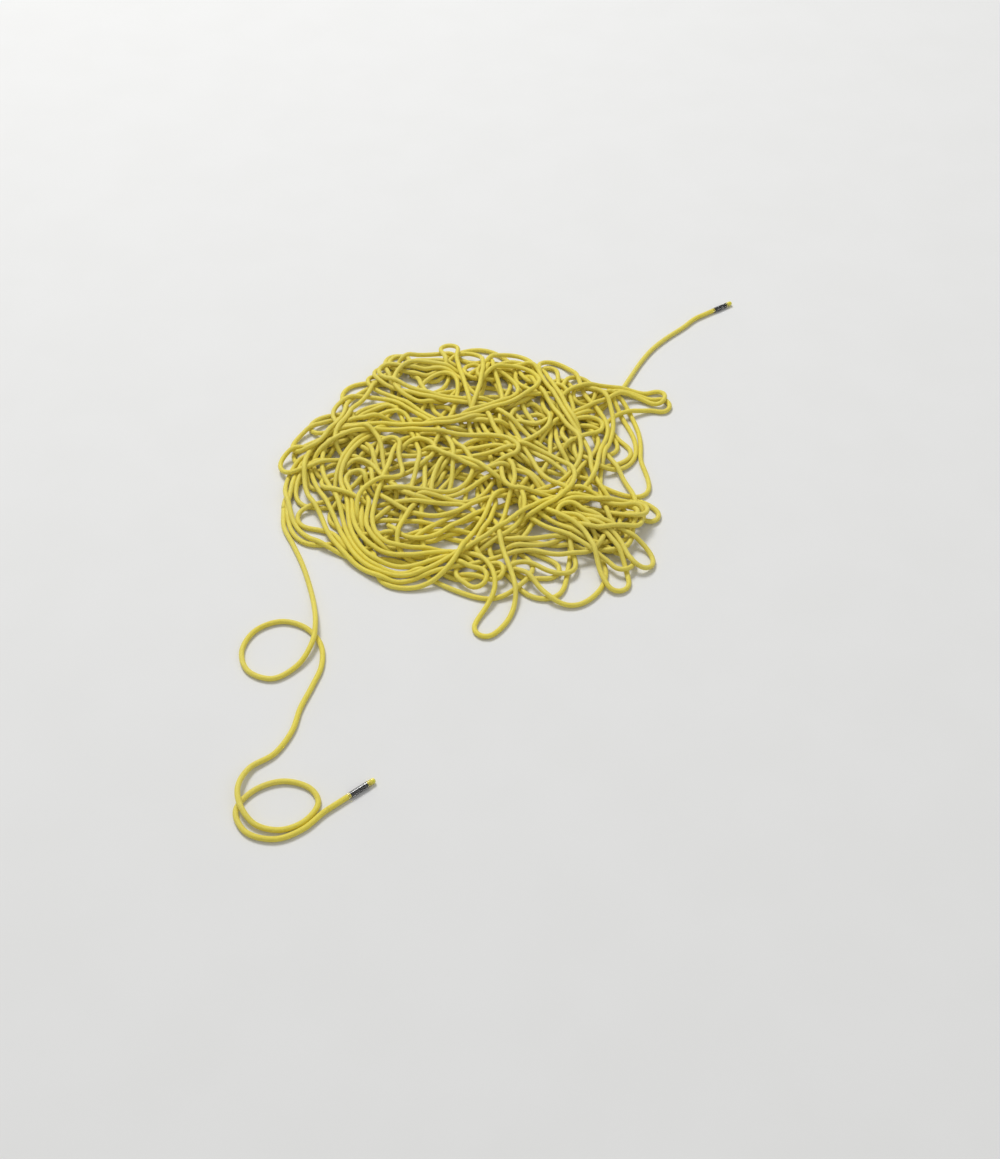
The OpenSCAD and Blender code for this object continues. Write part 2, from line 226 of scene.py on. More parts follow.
    (7, [(-118, 195), (-138, 180), (-151, 158), (-161, 132), (-167, 105), (-167, 78)]),
    (4, [(-115, 150), (-128, 128), (-145, 110), (-157, 90), (-160, 68)]),
    (7, [(-255, 90), (-230, 77), (-200, 73), (-165, 72), (-135, 78), (-110, 89), (-93, 106), (-84, 128),
        (-84, 148), (-92, 168), (-104, 188), (-118, 208), (-128, 228)]),
    (6, [(-150, 62), (-120, 73), (-95, 87), (-72, 103), (-50, 117), (-32, 126)]),
    (6, [(-128, 185), (-108, 176), (-88, 158), (-72, 140), (-56, 123), (-38, 112)]),
    (5, [(-125, 165), (-105, 155), (-85, 147), (-65, 135), (-45, 140)]),
    (6, [(-140, 165), (-122, 186), (-98, 201), (-72, 209), (-45, 211), (-18, 207)]),
    (4, [(-110, 172), (-85, 178), (-58, 180), (-32, 184), (-8, 190)]),
    (5, [(-52, 195), (-46, 172), (-40, 150), (-35, 128)]),
    (6, [(-255, 48), (-228, 45), (-190, 44), (-152, 46), (-120, 50)]),
    (7, [(-165, 60), (-130, 55), (-105, 48), (-84, 56), (-64, 68), (-50, 84), (-43, 104)]),
    (8, [(-268, 68), (-248, 48), (-225, 30), (-198, 16), (-165, 9), (-135, 13), (-108, 26), (-86, 43),
        (-64, 60), (-40, 68), (-15, 72)]),
    (5, [(-250, 5), (-222, 2), (-195, 3), (-165, -3), (-140, 5)]),
    (6, [(-28, 160), (-30, 130), (-27, 102), (-20, 80), (-5, 68), (18, 66), (45, 68), (75, 70), (100, 62)]),
    (5, [(-12, 170), (0, 145), (4, 118), (2, 92), (-7, 68), (-15, 42), (-20, 15), (-30, -8)]),
    (8, [(-5, 85), (-30, 70), (-46, 50), (-53, 25), (-62, 2), (-74, -22), (-88, -48), (-99, -72),
        (-108, -95), (-120, -118), (-138, -138), (-160, -154), (-190, -164), (-222, -162), (-248, -152)]),
    (6, [(-48, 88), (-40, 60), (-46, 30), (-48, 5), (-56, -20), (-70, -45)]),
    (7, [(0, 90), (12, 62), (18, 35), (14, 6), (0, -20), (-22, -42), (-48, -57)]),
    (6, [(-243, -25), (-228, -44), (-200, -55), (-172, -51), (-147, -40), (-125, -22), (-102, -8),
        (-80, 6), (-62, 22)]),
    (5, [(-215, -55), (-188, -37), (-165, -18), (-143, 2), (-125, 15)]),
    (8, [(-205, 22), (-215, -2), (-225, -28), (-229, -55), (-224, -80), (-205, -100)]),
    (8, [(-5, 205), (22, 200), (48, 190), (75, 175), (98, 158), (115, 138), (121, 115), (116, 88),
        (104, 62), (86, 40), (62, 22), (35, 8)]),
    (5, [(30, 190), (58, 168), (85, 148), (105, 128), (108, 105), (92, 85), (65, 75), (38, 72)]),
    (7, [(12, 222), (20, 198), (32, 172), (42, 146), (53, 121), (70, 98), (88, 82)]),
    (5, [(-8, 168), (10, 146), (30, 128), (45, 108), (60, 88), (75, 72)]),
    (4, [(76, 275), (73, 242), (73, 210), (72, 180), (63, 150), (52, 128)]),
    (5, [(92, 275), (93, 240), (99, 208), (111, 182), (120, 160), (114, 138)]),
    (3, [(122, 228), (120, 205), (127, 183), (136, 165)]),
    (4, [(-72, 285), (-66, 262), (-60, 238), (-50, 215)]),
    (5, [(-58, 285), (-48, 258), (-38, 235), (-28, 212)]),
    (3, [(-40, 270), (-28, 250), (-18, 228)]),
    (4, [(-30, 300), (-10, 278), (8, 262), (25, 245), (40, 225)]),
    (4, [(-5, 335), (8, 312), (22, 290), (35, 268), (52, 250), (70, 240)]),
    (4, [(18, 345), (28, 318), (42, 295), (55, 272), (50, 250), (35, 238)]),
    (5, [(-22, 300), (0, 292), (22, 282), (40, 270), (60, 285), (75, 300), (78, 325)]),
    (4, [(60, 330), (70, 300), (76, 270), (62, 248), (45, 235), (25, 222)]),
    (3, [(5, 330), (-5, 305), (-8, 280), (5, 255), (12, 232)]),
    (3, [(-300, 300), (-275, 318), (-250, 322), (-228, 312), (-215, 290)]),
    (4, [(-345, 285), (-325, 312), (-300, 332), (-272, 342), (-248, 336), (-235, 315), (-228, 290)]),
    (4, [(-350, 300), (-330, 330), (-305, 345), (-275, 352)]),
    (8, [(-36, -10), (-32, -42), (-29, -70), (-21, -100), (-12, -130), (-4, -155), (0, -180), (-2, -206),
        (-9, -232), (-21, -256), (-38, -275), (-58, -286), (-73, -280), (-77, -262), (-70, -240),
        (-57, -219), (-46, -199), (-38, -178), (-37, -155), (-43, -132), (-54, -112), (-70, -96),
        (-90, -88)]),
    (4, [(-170, -135), (-148, -152), (-122, -167), (-92, -182), (-64, -192), (-38, -193), (-15, -182),
        (7, -166), (22, -148), (31, -128), (34, -108), (28, -92), (14, -80)]),
    (5, [(-130, -105), (-112, -116), (-92, -130), (-70, -147), (-52, -163), (-60, -158), (-85, -156),
        (-105, -150), (-118, -136), (-112, -118)]),
    (4, [(-85, -140), (-65, -142), (-46, -148), (-27, -145), (-16, -132), (-20, -117), (-37, -111),
        (-58, -120), (-72, -132)]),
    (6, [(-80, -105), (-58, -98), (-32, -88), (-8, -77), (12, -68), (32, -70), (52, -79), (76, -87),
        (105, -90), (135, -89), (158, -80)]),
    (5, [(-18, -128), (0, -112), (18, -107), (38, -116), (56, -128), (76, -137), (95, -138), (108, -128),
        (113, -112), (107, -98), (102, -78), (100, -55)]),
    (6, [(-10, -122), (12, -132), (28, -148), (40, -168), (57, -189), (77, -204), (101, -212),
        (126, -204), (147, -186), (163, -163), (171, -142), (173, -118), (168, -95), (155, -70),
        (148, -42)]),
    (5, [(0, -150), (12, -172), (28, -186), (48, -193), (70, -191), (86, -180), (94, -160), (98, -135),
        (102, -112), (106, -90)]),
    (3, [(40, -78), (62, -88), (77, -103), (82, -122)]),
    (7, [(85, 0), (112, -12), (133, -24), (147, -48), (157, -78), (160, -106), (163, -132), (172, -155),
        (188, -173), (202, -176), (211, -164), (214, -145), (211, -122), (205, -98), (192, -72),
        (172, -48)]),
    (8, [(140, -2), (165, -11), (190, -24), (214, -37), (236, -49), (253, -67), (262, -90), (258, -111),
        (242, -121), (223, -116), (210, -98), (199, -72), (184, -48), (166, -30), (148, -15)]),
    (6, [(40, -8), (62, -22), (88, -38), (112, -52), (136, -68), (152, -83), (169, -99), (189, -112),
        (208, -120), (222, -124), (215, -108), (200, -90), (180, -80)]),
    (4, [(238, 18), (234, -8), (232, -32), (227, -54), (214, -70), (192, -78), (166, -76)]),
    (5, [(180, -30), (204, -25), (222, -18), (237, -6), (240, 14)]),
    (5, [(55, 8), (78, -10), (100, -30), (124, -48), (146, -62), (165, -70)]),
    (4, [(70, 12), (95, 0), (120, -12), (142, -30), (160, -50), (178, -65)]),
    (4, [(92, 22), (115, 12), (138, 2), (160, -10), (178, -30), (195, -52)]),
    (4, [(-35, -45), (-12, -54), (15, -54), (42, -46), (68, -38), (95, -42)]),
    (3, [(0, -70), (30, -66), (58, -60), (82, -50), (100, -35)]),
    (4, [(35, -5), (30, -25), (18, -42), (8, -60)]),
]

# ---------------------------------------------------------------- lines


def unit(v):
    v = np.asarray(v, float)
    return v / np.linalg.norm(v)


def heading(angle):
    """The level way at an angle in degrees, turned from +X towards +Y."""
    return np.array([math.cos(math.radians(angle)), math.sin(math.radians(angle)), 0.0])


def run_of(line):
    """Distance along a line at each of its points."""
    steps = np.linalg.norm(np.diff(line, axis=0), axis=1)
    return np.concatenate([[0.0], np.cumsum(steps)])


def along(line, stations):
    """The points of a line at these distances along it."""
    run = run_of(line)
    return np.column_stack([np.interp(stations, run, line[:, k]) for k in range(line.shape[1])])


def even(line, step):
    """The same line with its points about step apart."""
    total = run_of(line)[-1]
    return along(line, np.linspace(0, total, max(2, round(total / step)) + 1))


def through(points, before=None, after=None, steps=12):
    """A smooth curve through chosen points; before and after stand past its two ends."""
    p = np.array(points, float)
    first = 2 * p[0] - p[1] if before is None else before
    last = 2 * p[-1] - p[-2] if after is None else after
    q = np.vstack([first, p, last])
    t = (np.arange(steps) / steps)[:, None]
    out = []
    for i in range(len(p) - 1):
        a, b, c, d = q[i:i + 4]
        out.append(0.5 * (2 * b + (c - a) * t + (2 * a - 5 * b + 4 * c - d) * t ** 2
                          + (3 * b - a - 3 * c + d) * t ** 3))
    return np.vstack(out + [p[-1:]])


def eased(values, half, mode="edge"):
    """Values along the rope, each one averaged with its neighbours up to half steps away."""
    weights = np.hanning(2 * half + 3)[1:-1]
    weights = weights / weights.sum()
    columns = values.reshape(len(values), -1)
    padded = np.pad(columns, ((half, half), (0, 0)), mode=mode)
    out = np.column_stack([np.convolve(c, weights, mode="valid") for c in padded.T])
    return out.reshape(values.shape)


def soft_step(share):
    """Rises from 0 to 1 as the share does, level at both ends."""
    return share ** 2 * (3 - 2 * share)


def tail_line(route, end_at, end_heading):
    """A tail's centreline, from the heap to where its straight end starts."""
    points = np.array([(x, y, ROPE_R + z * ROPE_D) for x, y, z in route])
    end = np.array([end_at[0], end_at[1], SHRINK_R])
    start_way = unit(points[1] - points[0])
    before = points[0] - start_way * np.linalg.norm(points[1] - points[0])
    after = points[-1] + 2 * heading(end_heading) * np.linalg.norm(end - points[-1])
    line = through(np.vstack([points, end]), before, after)
    line[:, 2] = np.maximum(line[:, 2], ROPE_R)
    return line


# ---------------------------------------------------------------- the heap's plan

STEP = 5.0
HEAP_AT = np.array([-95.0, 165.0])
HEAP_R = 365
# Radius of the heap every 30 degrees from +X, as shares of HEAP_R.
HEAP_OUTLINE = np.array([1.00, 0.90, 0.93, 1.02, 1.03, 0.98, 1.00, 0.98, 0.95, 0.97, 1.03, 1.05])
OUTLINE_STEP = np.pi / 6
HEAP_IN = np.array(NEAR_ROUTE[0][:2], float)
HEAP_IN_WAY = unit(HEAP_IN - np.array(NEAR_ROUTE[1][:2], float))
HEAP_OUT = np.array(FAR_ROUTE[0][:2], float)
HEAP_OUT_WAY = unit(np.array(FAR_ROUTE[1][:2], float) - HEAP_OUT)

# The first loops on the ground: how many, how wide, and where on the heap they start; how many times
# their middles go round the heap, and at which share of its radius.
BASE_LOOPS = 8.6
BASE_LOOP_R = 105
BASE_HEADING = math.radians(190.5)
BASE_ROUNDS = 1.35
BASE_MIDDLE = 0.40
# Points that draw them, the first of these that is used, and the rounds that fit their length.
BASE_POINTS = 480
BASE_FROM = 34
BASE_FITS = 6

# A hidden bow between two strands: the length it should have, and how far its handles reach.
USUAL_BOW = 140.0
TRIAL_REACH = 45.0
BOW_REACHES = (30, 45, 65, 90, 120, 160)
RIM_REACH = 120.0
WAY_OUT_REACH = 60.0
BOW_POINTS = 60

# A bow keeps within this share of the heap's radius, and is drawn in from this share of that;
# over the length at each of its ends it eases back to where it joins a strand.
KEPT_IN = 0.95
DRAWN_IN_FROM = 0.65
JOINING_LEN = 60

# Levels say what lies on what. Hidden rope rises from UNDER to 0 along the run; a strand on show has
# SHOWN_LEVEL times the level written with it, and LATER_LEVEL for each strand written before it.
UNDER = -200
SHOWN_LEVEL = 10.0
LATER_LEVEL = 0.05
LEVEL_BLEND = 12


def outline_at(angle):
    """The heap's radius in the way of each angle."""
    share = (angle % (2 * np.pi)) / OUTLINE_STEP
    k = np.floor(share).astype(int) % len(HEAP_OUTLINE)
    f = soft_step(share - np.floor(share))
    return HEAP_R * (HEAP_OUTLINE[k] * (1 - f) + HEAP_OUTLINE[(k + 1) % len(HEAP_OUTLINE)] * f)


def reach_of(line):
    """How far each point is from the heap's middle, and the heap's radius there."""
    out = line - HEAP_AT
    return np.linalg.norm(out, axis=1), outline_at(np.arctan2(out[:, 1], out[:, 0]))


def kept_inside(line):
    """Draws a bow in where it bulges out of the heap; its two ends stay where they are."""
    far, edge = reach_of(line)
    edge = KEPT_IN * edge
    start, room = DRAWN_IN_FROM * edge, (1 - DRAWN_IN_FROM) * edge
    soft = start + room * np.tanh((far - start) / room)
    far_now = np.where(far > start, np.minimum(soft, far), far)
    moved = HEAP_AT + (line - HEAP_AT) * (far_now / np.maximum(far, 1e-6))[:, None]
    run = run_of(line)
    middle = np.clip(np.minimum(run, run[-1] - run) / JOINING_LEN, 0, 1)[:, None]
    return line + soft_step(middle) * (moved - line)


def link(start, start_way, end, end_way, reach):
    """A loose bow from one point to another, leaving and arriving in the ways given."""
    h = max(reach, 0.5 * np.linalg.norm(end - start))
    t = np.linspace(0, 1, BOW_POINTS)[:, None]
    a = start + h * start_way
    b = end - h * end_way
    return (1 - t) ** 3 * start + 3 * (1 - t) ** 2 * t * a + 3 * (1 - t) * t * t * b + t ** 3 * end


def way_at_start(line):
    return unit(line[2] - line[0])


def way_at_end(line):
    return unit(line[-1] - line[-3])


def tightest(line):
    """The smallest radius at which a flat line bends."""
    legs = np.diff(even(line, STEP), axis=0)
    headings = np.arctan2(legs[:, 1], legs[:, 0])
    bends = np.abs((np.diff(headings) + np.pi) % (2 * np.pi) - np.pi)
    return STEP / max(bends.max(initial=0), 1e-3)


def bow_cost(bow, easy_bend, bend_weight, length_weight, rim, rim_scale):
    """What speaks against a bow: tight bends, an unusual length and bulging past the rim."""
    far, edge = reach_of(bow)
    cost = bend_weight * max(0, easy_bend - tightest(bow)) / easy_bend
    cost += length_weight * abs(run_of(bow)[-1] - USUAL_BOW) / USUAL_BOW
    return cost + max(0, (far - rim * edge).max()) / rim_scale


def best_bow(at, way, strand):
    """The link to a strand whose handles give it the easiest bends."""
    bows = [link(at, way, strand[0], way_at_start(strand), reach) for reach in BOW_REACHES]
    costs = [bow_cost(bow, easy_bend=28, bend_weight=4, length_weight=0.4, rim=0.95, rim_scale=40)
             for bow in bows]
    return bows[int(np.argmin(costs))]


def chained(base, strands):
    """Joins the strands into one run: after each the one, either way round, that costs least."""
    at, way = base[-1], way_at_end(base)
    left = list(range(len(strands)))
    chain = []
    while left:
        best_cost = np.inf
        for k in left:
            for strand in (strands[k], strands[k][::-1]):
                gap = np.linalg.norm(strand[0] - at)
                if gap / USUAL_BOW - 1 > best_cost:
                    continue
                bow = link(at, way, strand[0], way_at_start(strand), TRIAL_REACH)
                cost = bow_cost(bow, easy_bend=25, bend_weight=2, length_weight=1, rim=0.9, rim_scale=25)
                if cost < best_cost:
                    best_cost, number, next_strand = cost, k, strand
        chain.append((best_bow(at, way, next_strand), next_strand, number))
        left.remove(number)
        at, way = next_strand[-1], way_at_end(next_strand)
    return chain


def base_turns(scale):
    """The first loops on the ground, laid one past another round the middle, under all the rest."""
    u = np.linspace(0, 1, BASE_POINTS)
    round_heap = BASE_HEADING - 2 * np.pi * BASE_ROUNDS * u
    round_loop = BASE_HEADING - 2 * np.pi * BASE_LOOPS * u
    middle = BASE_MIDDLE * outline_at(round_heap) * (1 + 0.12 * np.cos(7.0 * u))
    loop_r = scale * BASE_LOOP_R * (1 + 0.18 * np.cos(2 * np.pi * 2.6 * u + 1.0))
    loops = HEAP_AT + np.column_stack([
        middle * np.cos(round_heap) + loop_r * np.cos(round_loop),
        middle * np.sin(round_heap) + loop_r * np.sin(round_loop),
    ])
    joins_way = unit(loops[BASE_FROM + 1] - loops[BASE_FROM])
    rim = link(HEAP_IN, HEAP_IN_WAY, loops[BASE_FROM], joins_way, RIM_REACH)
    return even(np.vstack([rim[:-1], loops[BASE_FROM:]]), STEP)


def base_of_length(length):
    """The first loops, scaled until they take up this much rope."""
    scale = 1.0
    for _ in range(BASE_FITS):
        scale *= length / run_of(base_turns(scale))[-1]
    return base_turns(scale)


def heap_chain():
    """The first loops, then each bow with the strand it leads to, and the way out of the heap."""
    strands = [even(through(points), STEP) for _, points in STRANDS]
    chain = chained(base_turns(1.0), strands)
    last = chain[-1][1]
    way_out = link(last[-1], way_at_end(last), HEAP_OUT, HEAP_OUT_WAY, WAY_OUT_REACH)
    fixed = sum(run_of(bow)[-1] + run_of(strand)[-1] for bow, strand, _ in chain)
    fixed += run_of(way_out)[-1]
    base = base_of_length(ROPE_LEN_IN_HEAP - fixed)
    _, first, number = chain[0]
    first_bow = link(base[-1], way_at_end(base), first[0], way_at_start(first), TRIAL_REACH)
    return base, [(first_bow, first, number), *chain[1:]], way_out


def heap_plan():
    """The heap's whole run seen from above, with each point's level and whether it is on show."""
    base, chain, way_out = heap_chain()
    runs = [(base, 0.0, False)]
    for bow, strand, number in chain:
        level = SHOWN_LEVEL * STRANDS[number][0] + LATER_LEVEL * number
        runs += [(kept_inside(even(bow, STEP))[1:-1], 0.0, False), (strand, level, True)]
    runs.append((even(way_out, STEP)[1:], 0.0, False))
    pieces, levels, shown = zip(*runs)
    counts = [len(piece) for piece in pieces]
    line, level, on_show = np.vstack(pieces), np.repeat(levels, counts), np.repeat(shown, counts)
    run = run_of(line)
    stations = np.linspace(0, run[-1], round(run[-1] / STEP) + 1)
    nearest = np.searchsorted((run[1:] + run[:-1]) / 2, stations)
    on_show = on_show[nearest]
    under = UNDER - UNDER * stations / run[-1]
    level = eased(np.where(on_show, level[nearest], under), LEVEL_BLEND)
    return along(line, stations), level, on_show


# ---------------------------------------------------------------- how the heap settles

# The first heights are squeezed to stay under this.
HEAP_HEIGHT = 45
# While it settles, the rope's middle is pressed down where it lies higher than this.
HIGHEST = 41.5
# Radius of bend of hidden rope, and of rope on show.
BEND_R = 22.0
FOLD_R = 19.0
# Points fewer steps apart than this belong to one stretch and never press on each other.
ONE_STRETCH = 8
# How near two points have to be to count: side by side, crossing, and while the heap settles.
SIDE_REACH = 1.2 * ROPE_D
CROSSING_REACH = 0.95 * ROPE_D
SETTLING_REACH = ROPE_D + 3
# Two points nearer than this are deep in each other, and only one can go over.
DEEP = 0.75 * ROPE_D
# Millimetres that free rope sinks in a round, the share of that which stays to the end, and what a
# long stretch that touches nothing sinks on top of it.
SINKING = 0.5
LATE_SINKING = 0.12
HUNG_SINKING = 0.2
# How much of what is wrong one round answers: too near at the side, pressed, too high, uneven, wavy.
SIDEWAYS_GAIN = 1.2
APART_GAIN = 1.3
TOO_HIGH_GAIN = 0.6
EVENING_GAIN = 0.1
SMOOTHING_GAIN = 0.5
# How strongly a point is drawn back to its planned place: on show, or hidden in the heap.
SHOWN_HOLD = 0.02
HIDDEN_PLAN_HOLD = 0.003
HIDDEN_HOLD = 0.004
BEND_GIVE = 0.15
# Rope this many steps from the heap's two ends is held, and after that it comes loose.
HELD_STEPS = 3
LOOSENING_STEPS = 16.0
OPENING_ROUNDS = 120
SIDEWAYS_ROUNDS = 80
STACKING_ROUNDS = 500
SETTLING_ROUNDS = 450


def near_pairs(line, reach, apart):
    """Pairs of points nearer than reach seen from above, and at least apart steps away in run."""
    cell = np.floor((line[:, :2] - line[:, :2].min(axis=0)) / reach).astype(np.int64) + 2
    columns = int(cell[:, 1].max()) + 5
    key = cell[:, 0] * columns + cell[:, 1]
    order = np.argsort(key, kind="stable")
    ranked = key[order]
    firsts, seconds = [], []
    # A cell with itself and with four of its neighbours gives every pair of cells once.
    for over, up in ((0, 0), (1, 0), (-1, 1), (0, 1), (1, 1)):
        wanted = key + over * columns + up
        low = np.searchsorted(ranked, wanted, "left")
        count = np.searchsorted(ranked, wanted, "right") - low
        i = np.repeat(np.arange(len(line)), count)
        nth = np.arange(count.sum()) - np.repeat(np.cumsum(count) - count, count)
        j = order[np.repeat(low, count) + nth]
        keep = j > i if (over, up) == (0, 0) else np.ones(len(i), bool)
        firsts.append(i[keep])
        seconds.append(j[keep])
    i, j = np.concatenate(firsts), np.concatenate(seconds)
    gap = line[i, :2] - line[j, :2]
    keep = (np.abs(i - j) >= apart) & ((gap * gap).sum(axis=1) < reach * reach)
    return i[keep], j[keep]


def ways(line):
    """The way in which the rope runs at each point."""
    t = np.gradient(line, axis=0)
    return t / np.maximum(np.linalg.norm(t, axis=1), 1e-9)[:, None]


def totals(n, index, values):
    """Adds up the rows of values that have the same index."""
    return np.column_stack([np.bincount(index, v, minlength=n) for v in values.T])


def presses(n, i, j, short):
    """How many others press on each point."""
    return np.bincount(i, short > 0, minlength=n) + np.bincount(j, short > 0, minlength=n)


def alike(line, level, i, j, least_share, most_levels):
    """Which pairs run the same way, or the opposite one, at about one level."""
    t = ways(line)
    same_way = np.abs((t[i] * t[j]).sum(axis=1)) > least_share
    return same_way & (np.abs(level[i] - level[j]) < most_levels)


def opened_bends(line, loose, radius):
    """Pushes the two legs of a bend apart until it is about as wide as the radius given."""
    push = np.zeros_like(line)
    for k in (2, 3, 4, 5):
        across = line[2 * k:] - line[:-2 * k]
        wide = np.maximum(np.linalg.norm(across, axis=1), 0.2)
        bend = radius[k:-k]
        needed = 2 * bend * np.sin(k * STEP / bend)
        part = (np.maximum(0, needed - wide) / wide)[:, None] * across
        push[2 * k:] += part
        push[:-2 * k] -= part
    return line + BEND_GIVE * loose * eased(push, 2, "constant")


def apart_sideways(line, level, on_show, loose, radius):
    """Lays strands that run side by side at one level beside each other, not in each other."""
    home = line.copy()
    hold = np.where(on_show, SHOWN_HOLD, HIDDEN_PLAN_HOLD)[:, None]
    n = len(line)
    for turn in range(SIDEWAYS_ROUNDS):
        if turn % 8 == 0:
            i, j = near_pairs(line, SIDE_REACH, ONE_STRETCH + 2)
            keep = alike(line, level, i, j, least_share=0.9, most_levels=60)
            i, j = i[keep], j[keep]
        t = ways(line)
        gap = line[i] - line[j]
        side = gap - (gap * t[i]).sum(axis=1)[:, None] * t[i]
        wide = np.maximum(np.linalg.norm(side, axis=1), 0.2)
        short = np.maximum(0, 1.01 * ROPE_D - wide) * (np.linalg.norm(gap, axis=1) < SIDE_REACH)
        push = (0.5 * short / wide)[:, None] * side
        hits = presses(n, i, j, short)
        move = (totals(n, i, push) - totals(n, j, push)) / np.maximum(hits, 1)[:, None]
        line = line + SIDEWAYS_GAIN * loose * eased(move, 8, "constant")
        off = line - home
        line = line + SMOOTHING_GAIN * loose * (eased(off, 12) - off)
        line = line + hold * loose * (home - line)
        line = opened_bends(line, loose, radius)
    return line


def stacked(line, level):
    """First heights: each strand comes to lie on those of a lower level that it crosses."""
    n = len(line)
    i, j = near_pairs(line, CROSSING_REACH, ONE_STRETCH)
    gap = np.linalg.norm(line[i] - line[j], axis=1)
    beside = alike(line, level, i, j, least_share=0.92, most_levels=40) & (gap > 0.4 * ROPE_D)
    i, j, gap = i[~beside], j[~beside], gap[~beside]
    swap = level[i] < level[j]
    upper, lower = np.where(swap, j, i), np.where(swap, i, j)
    need = np.sqrt(np.maximum(CROSSING_REACH ** 2 - gap ** 2, 0))
    z = ROPE_R + 60 * (level - level.min()) / np.ptp(level)
    for turn in range(STACKING_ROUNDS):
        z = z - 0.4 * (1 - turn / STACKING_ROUNDS)
        short = np.maximum(0, need - (z[upper] - z[lower]))
        lift, sink = np.zeros(n), np.zeros(n)
        np.maximum.at(lift, upper, short)
        np.maximum.at(sink, lower, short)
        move = 0.7 * lift - 0.45 * sink
        move += np.maximum(0, ROPE_R - z - move)
        z = z + eased(move, 5, "constant")
        z = z + EVENING_GAIN * (eased(z, 4) - z)
        z = np.maximum(z, ROPE_R - 0.5)
    return z


def parted(line, i, j):
    """How far each point moves out of those that press on it, and how many they are."""
    n = len(line)
    gap = line[i] - line[j]
    wide = np.maximum(np.linalg.norm(gap, axis=1), 0.3)
    short = np.maximum(0, ROPE_D - wide)
    push = (short / wide)[:, None] * gap
    # Where two are deep in each other, the one whose stretch lies higher goes over.
    deep = wide < DEEP
    broad = eased(line[:, 2], 10)
    over = np.where(broad[i] >= broad[j], 1.0, -1.0)
    push[deep] = np.column_stack([0.3 * push[deep, :2], (short * over)[deep]])
    give = 0.5 + 0.35 * np.clip(gap[:, 2:] / ROPE_D, -1, 1)
    hits = presses(n, i, j, short)
    move = totals(n, i, give * push) - totals(n, j, (1 - give) * push)
    return move / np.maximum(0.4 * hits, 1)[:, None], hits


def settled(line, home, on_show, loose, radius):
    """Lets the heap sink under its own weight while its strands stay over and beside each other."""
    hold = np.where(on_show, SHOWN_HOLD, HIDDEN_HOLD)[:, None] * loose
    free = loose[:, 0]
    calm = eased(on_show.astype(float), 6)
    for turn in range(SETTLING_ROUNDS):
        line[:, 2] -= SINKING * max(LATE_SINKING, 1 - 1.4 * turn / SETTLING_ROUNDS) * free
        if turn % 6 == 0:
            i, j = near_pairs(line, SETTLING_REACH, ONE_STRETCH)
            keep = np.abs(line[i, 2] - line[j, 2]) < SETTLING_REACH
            i, j = i[keep], j[keep]
        move, hits = parted(line, i, j)
        hung = (hits == 0) & (line[:, 2] > ROPE_R + 0.3)
        line[:, 2] -= HUNG_SINKING * free * np.clip(2 * eased(hung.astype(float), 18) - 1, 0, 1)
        move[:, 2] += np.maximum(0, ROPE_R - line[:, 2] - move[:, 2])
        move[:, 2] -= TOO_HIGH_GAIN * np.maximum(0, line[:, 2] - HIGHEST)
        line += APART_GAIN * loose * eased(move, 4, "constant")
        # Heights even out, more so where the rope is on show.
        level_way = calm * eased(line[:, 2], 7) + (1 - calm) * eased(line[:, 2], 3)
        line[:, 2] += EVENING_GAIN * (1 + calm) * free * (level_way - line[:, 2])
        if turn % 2 == 0:
            off = line[:, :2] - home
            line[:, :2] += SMOOTHING_GAIN * loose * (eased(off, 14) - off)
        line = opened_bends(line, loose, radius)
        line[:, :2] += hold * (home - line[:, :2])
        line[:, 2] = np.maximum(line[:, 2], ROPE_R)
    line[:, :2] = home + soft_step(loose) * (line[:, :2] - home)
    return line


def heap_line():
    """The heap's centreline: planned flat, its bends opened, laid side by side, stacked, settled."""
    plan, level, on_show = heap_plan()
    n = len(plan)
    from_end = np.minimum(np.arange(n), n - 1 - np.arange(n))
    loose = np.clip((from_end - HELD_STEPS) / LOOSENING_STEPS, 0, 1)[:, None]
    plan = plan + loose * (eased(plan, 3) - plan)
    radius = eased(np.where(on_show, FOLD_R, BEND_R), 6)
    for _ in range(OPENING_ROUNDS):
        plan = opened_bends(plan, loose, 1.1 * radius)
        plan = plan + 0.05 * loose * (eased(plan, 2) - plan)
    plan = apart_sideways(plan, level, on_show, loose, radius)
    z = stacked(plan, level)
    z = eased(z, 5) - ROPE_R
    z = ROPE_R + loose[:, 0] * HEAP_HEIGHT * (1 - np.exp(-z / HEAP_HEIGHT))
    return settled(np.column_stack([plan, z]), plan.copy(), on_show, loose, radius)


# ---------------------------------------------------------------- the whole rope's centreline

# Spacing of the rings: even on the straight ends, and elsewhere the widest and the closest.
END_RING = 0.4
TAIL_RINGS = (4.0, 2.0)
HEAP_RINGS = (9.0, 3.4)
# Turn of the rope, in radians, that one step from ring to ring may take up.
RING_TURN = 0.28


def ring_stations(line, widest, closest):
    """Where the rings go: close together where the rope bends tightly, wider where it is straight."""
    fine = even(line, 2.0)
    legs = np.diff(fine, axis=0)
    legs /= np.linalg.norm(legs, axis=1)[:, None]
    turn = np.arccos(np.clip((legs[1:] * legs[:-1]).sum(axis=1), -1, 1)) / 2.0
    bend = eased(np.concatenate([turn[:1], turn, turn[-1:]]), 3)
    spacing = np.clip(RING_TURN / np.maximum(bend, 1e-4), closest, widest)
    run = run_of(fine)
    rings = np.concatenate([[0], np.cumsum(np.diff(run) * (1 / spacing[1:] + 1 / spacing[:-1]) / 2)])
    return np.interp(np.linspace(0, rings[-1], math.ceil(rings[-1]) + 1), rings, run)


def rung(line, widest, closest):
    return along(line, ring_stations(line, widest, closest))


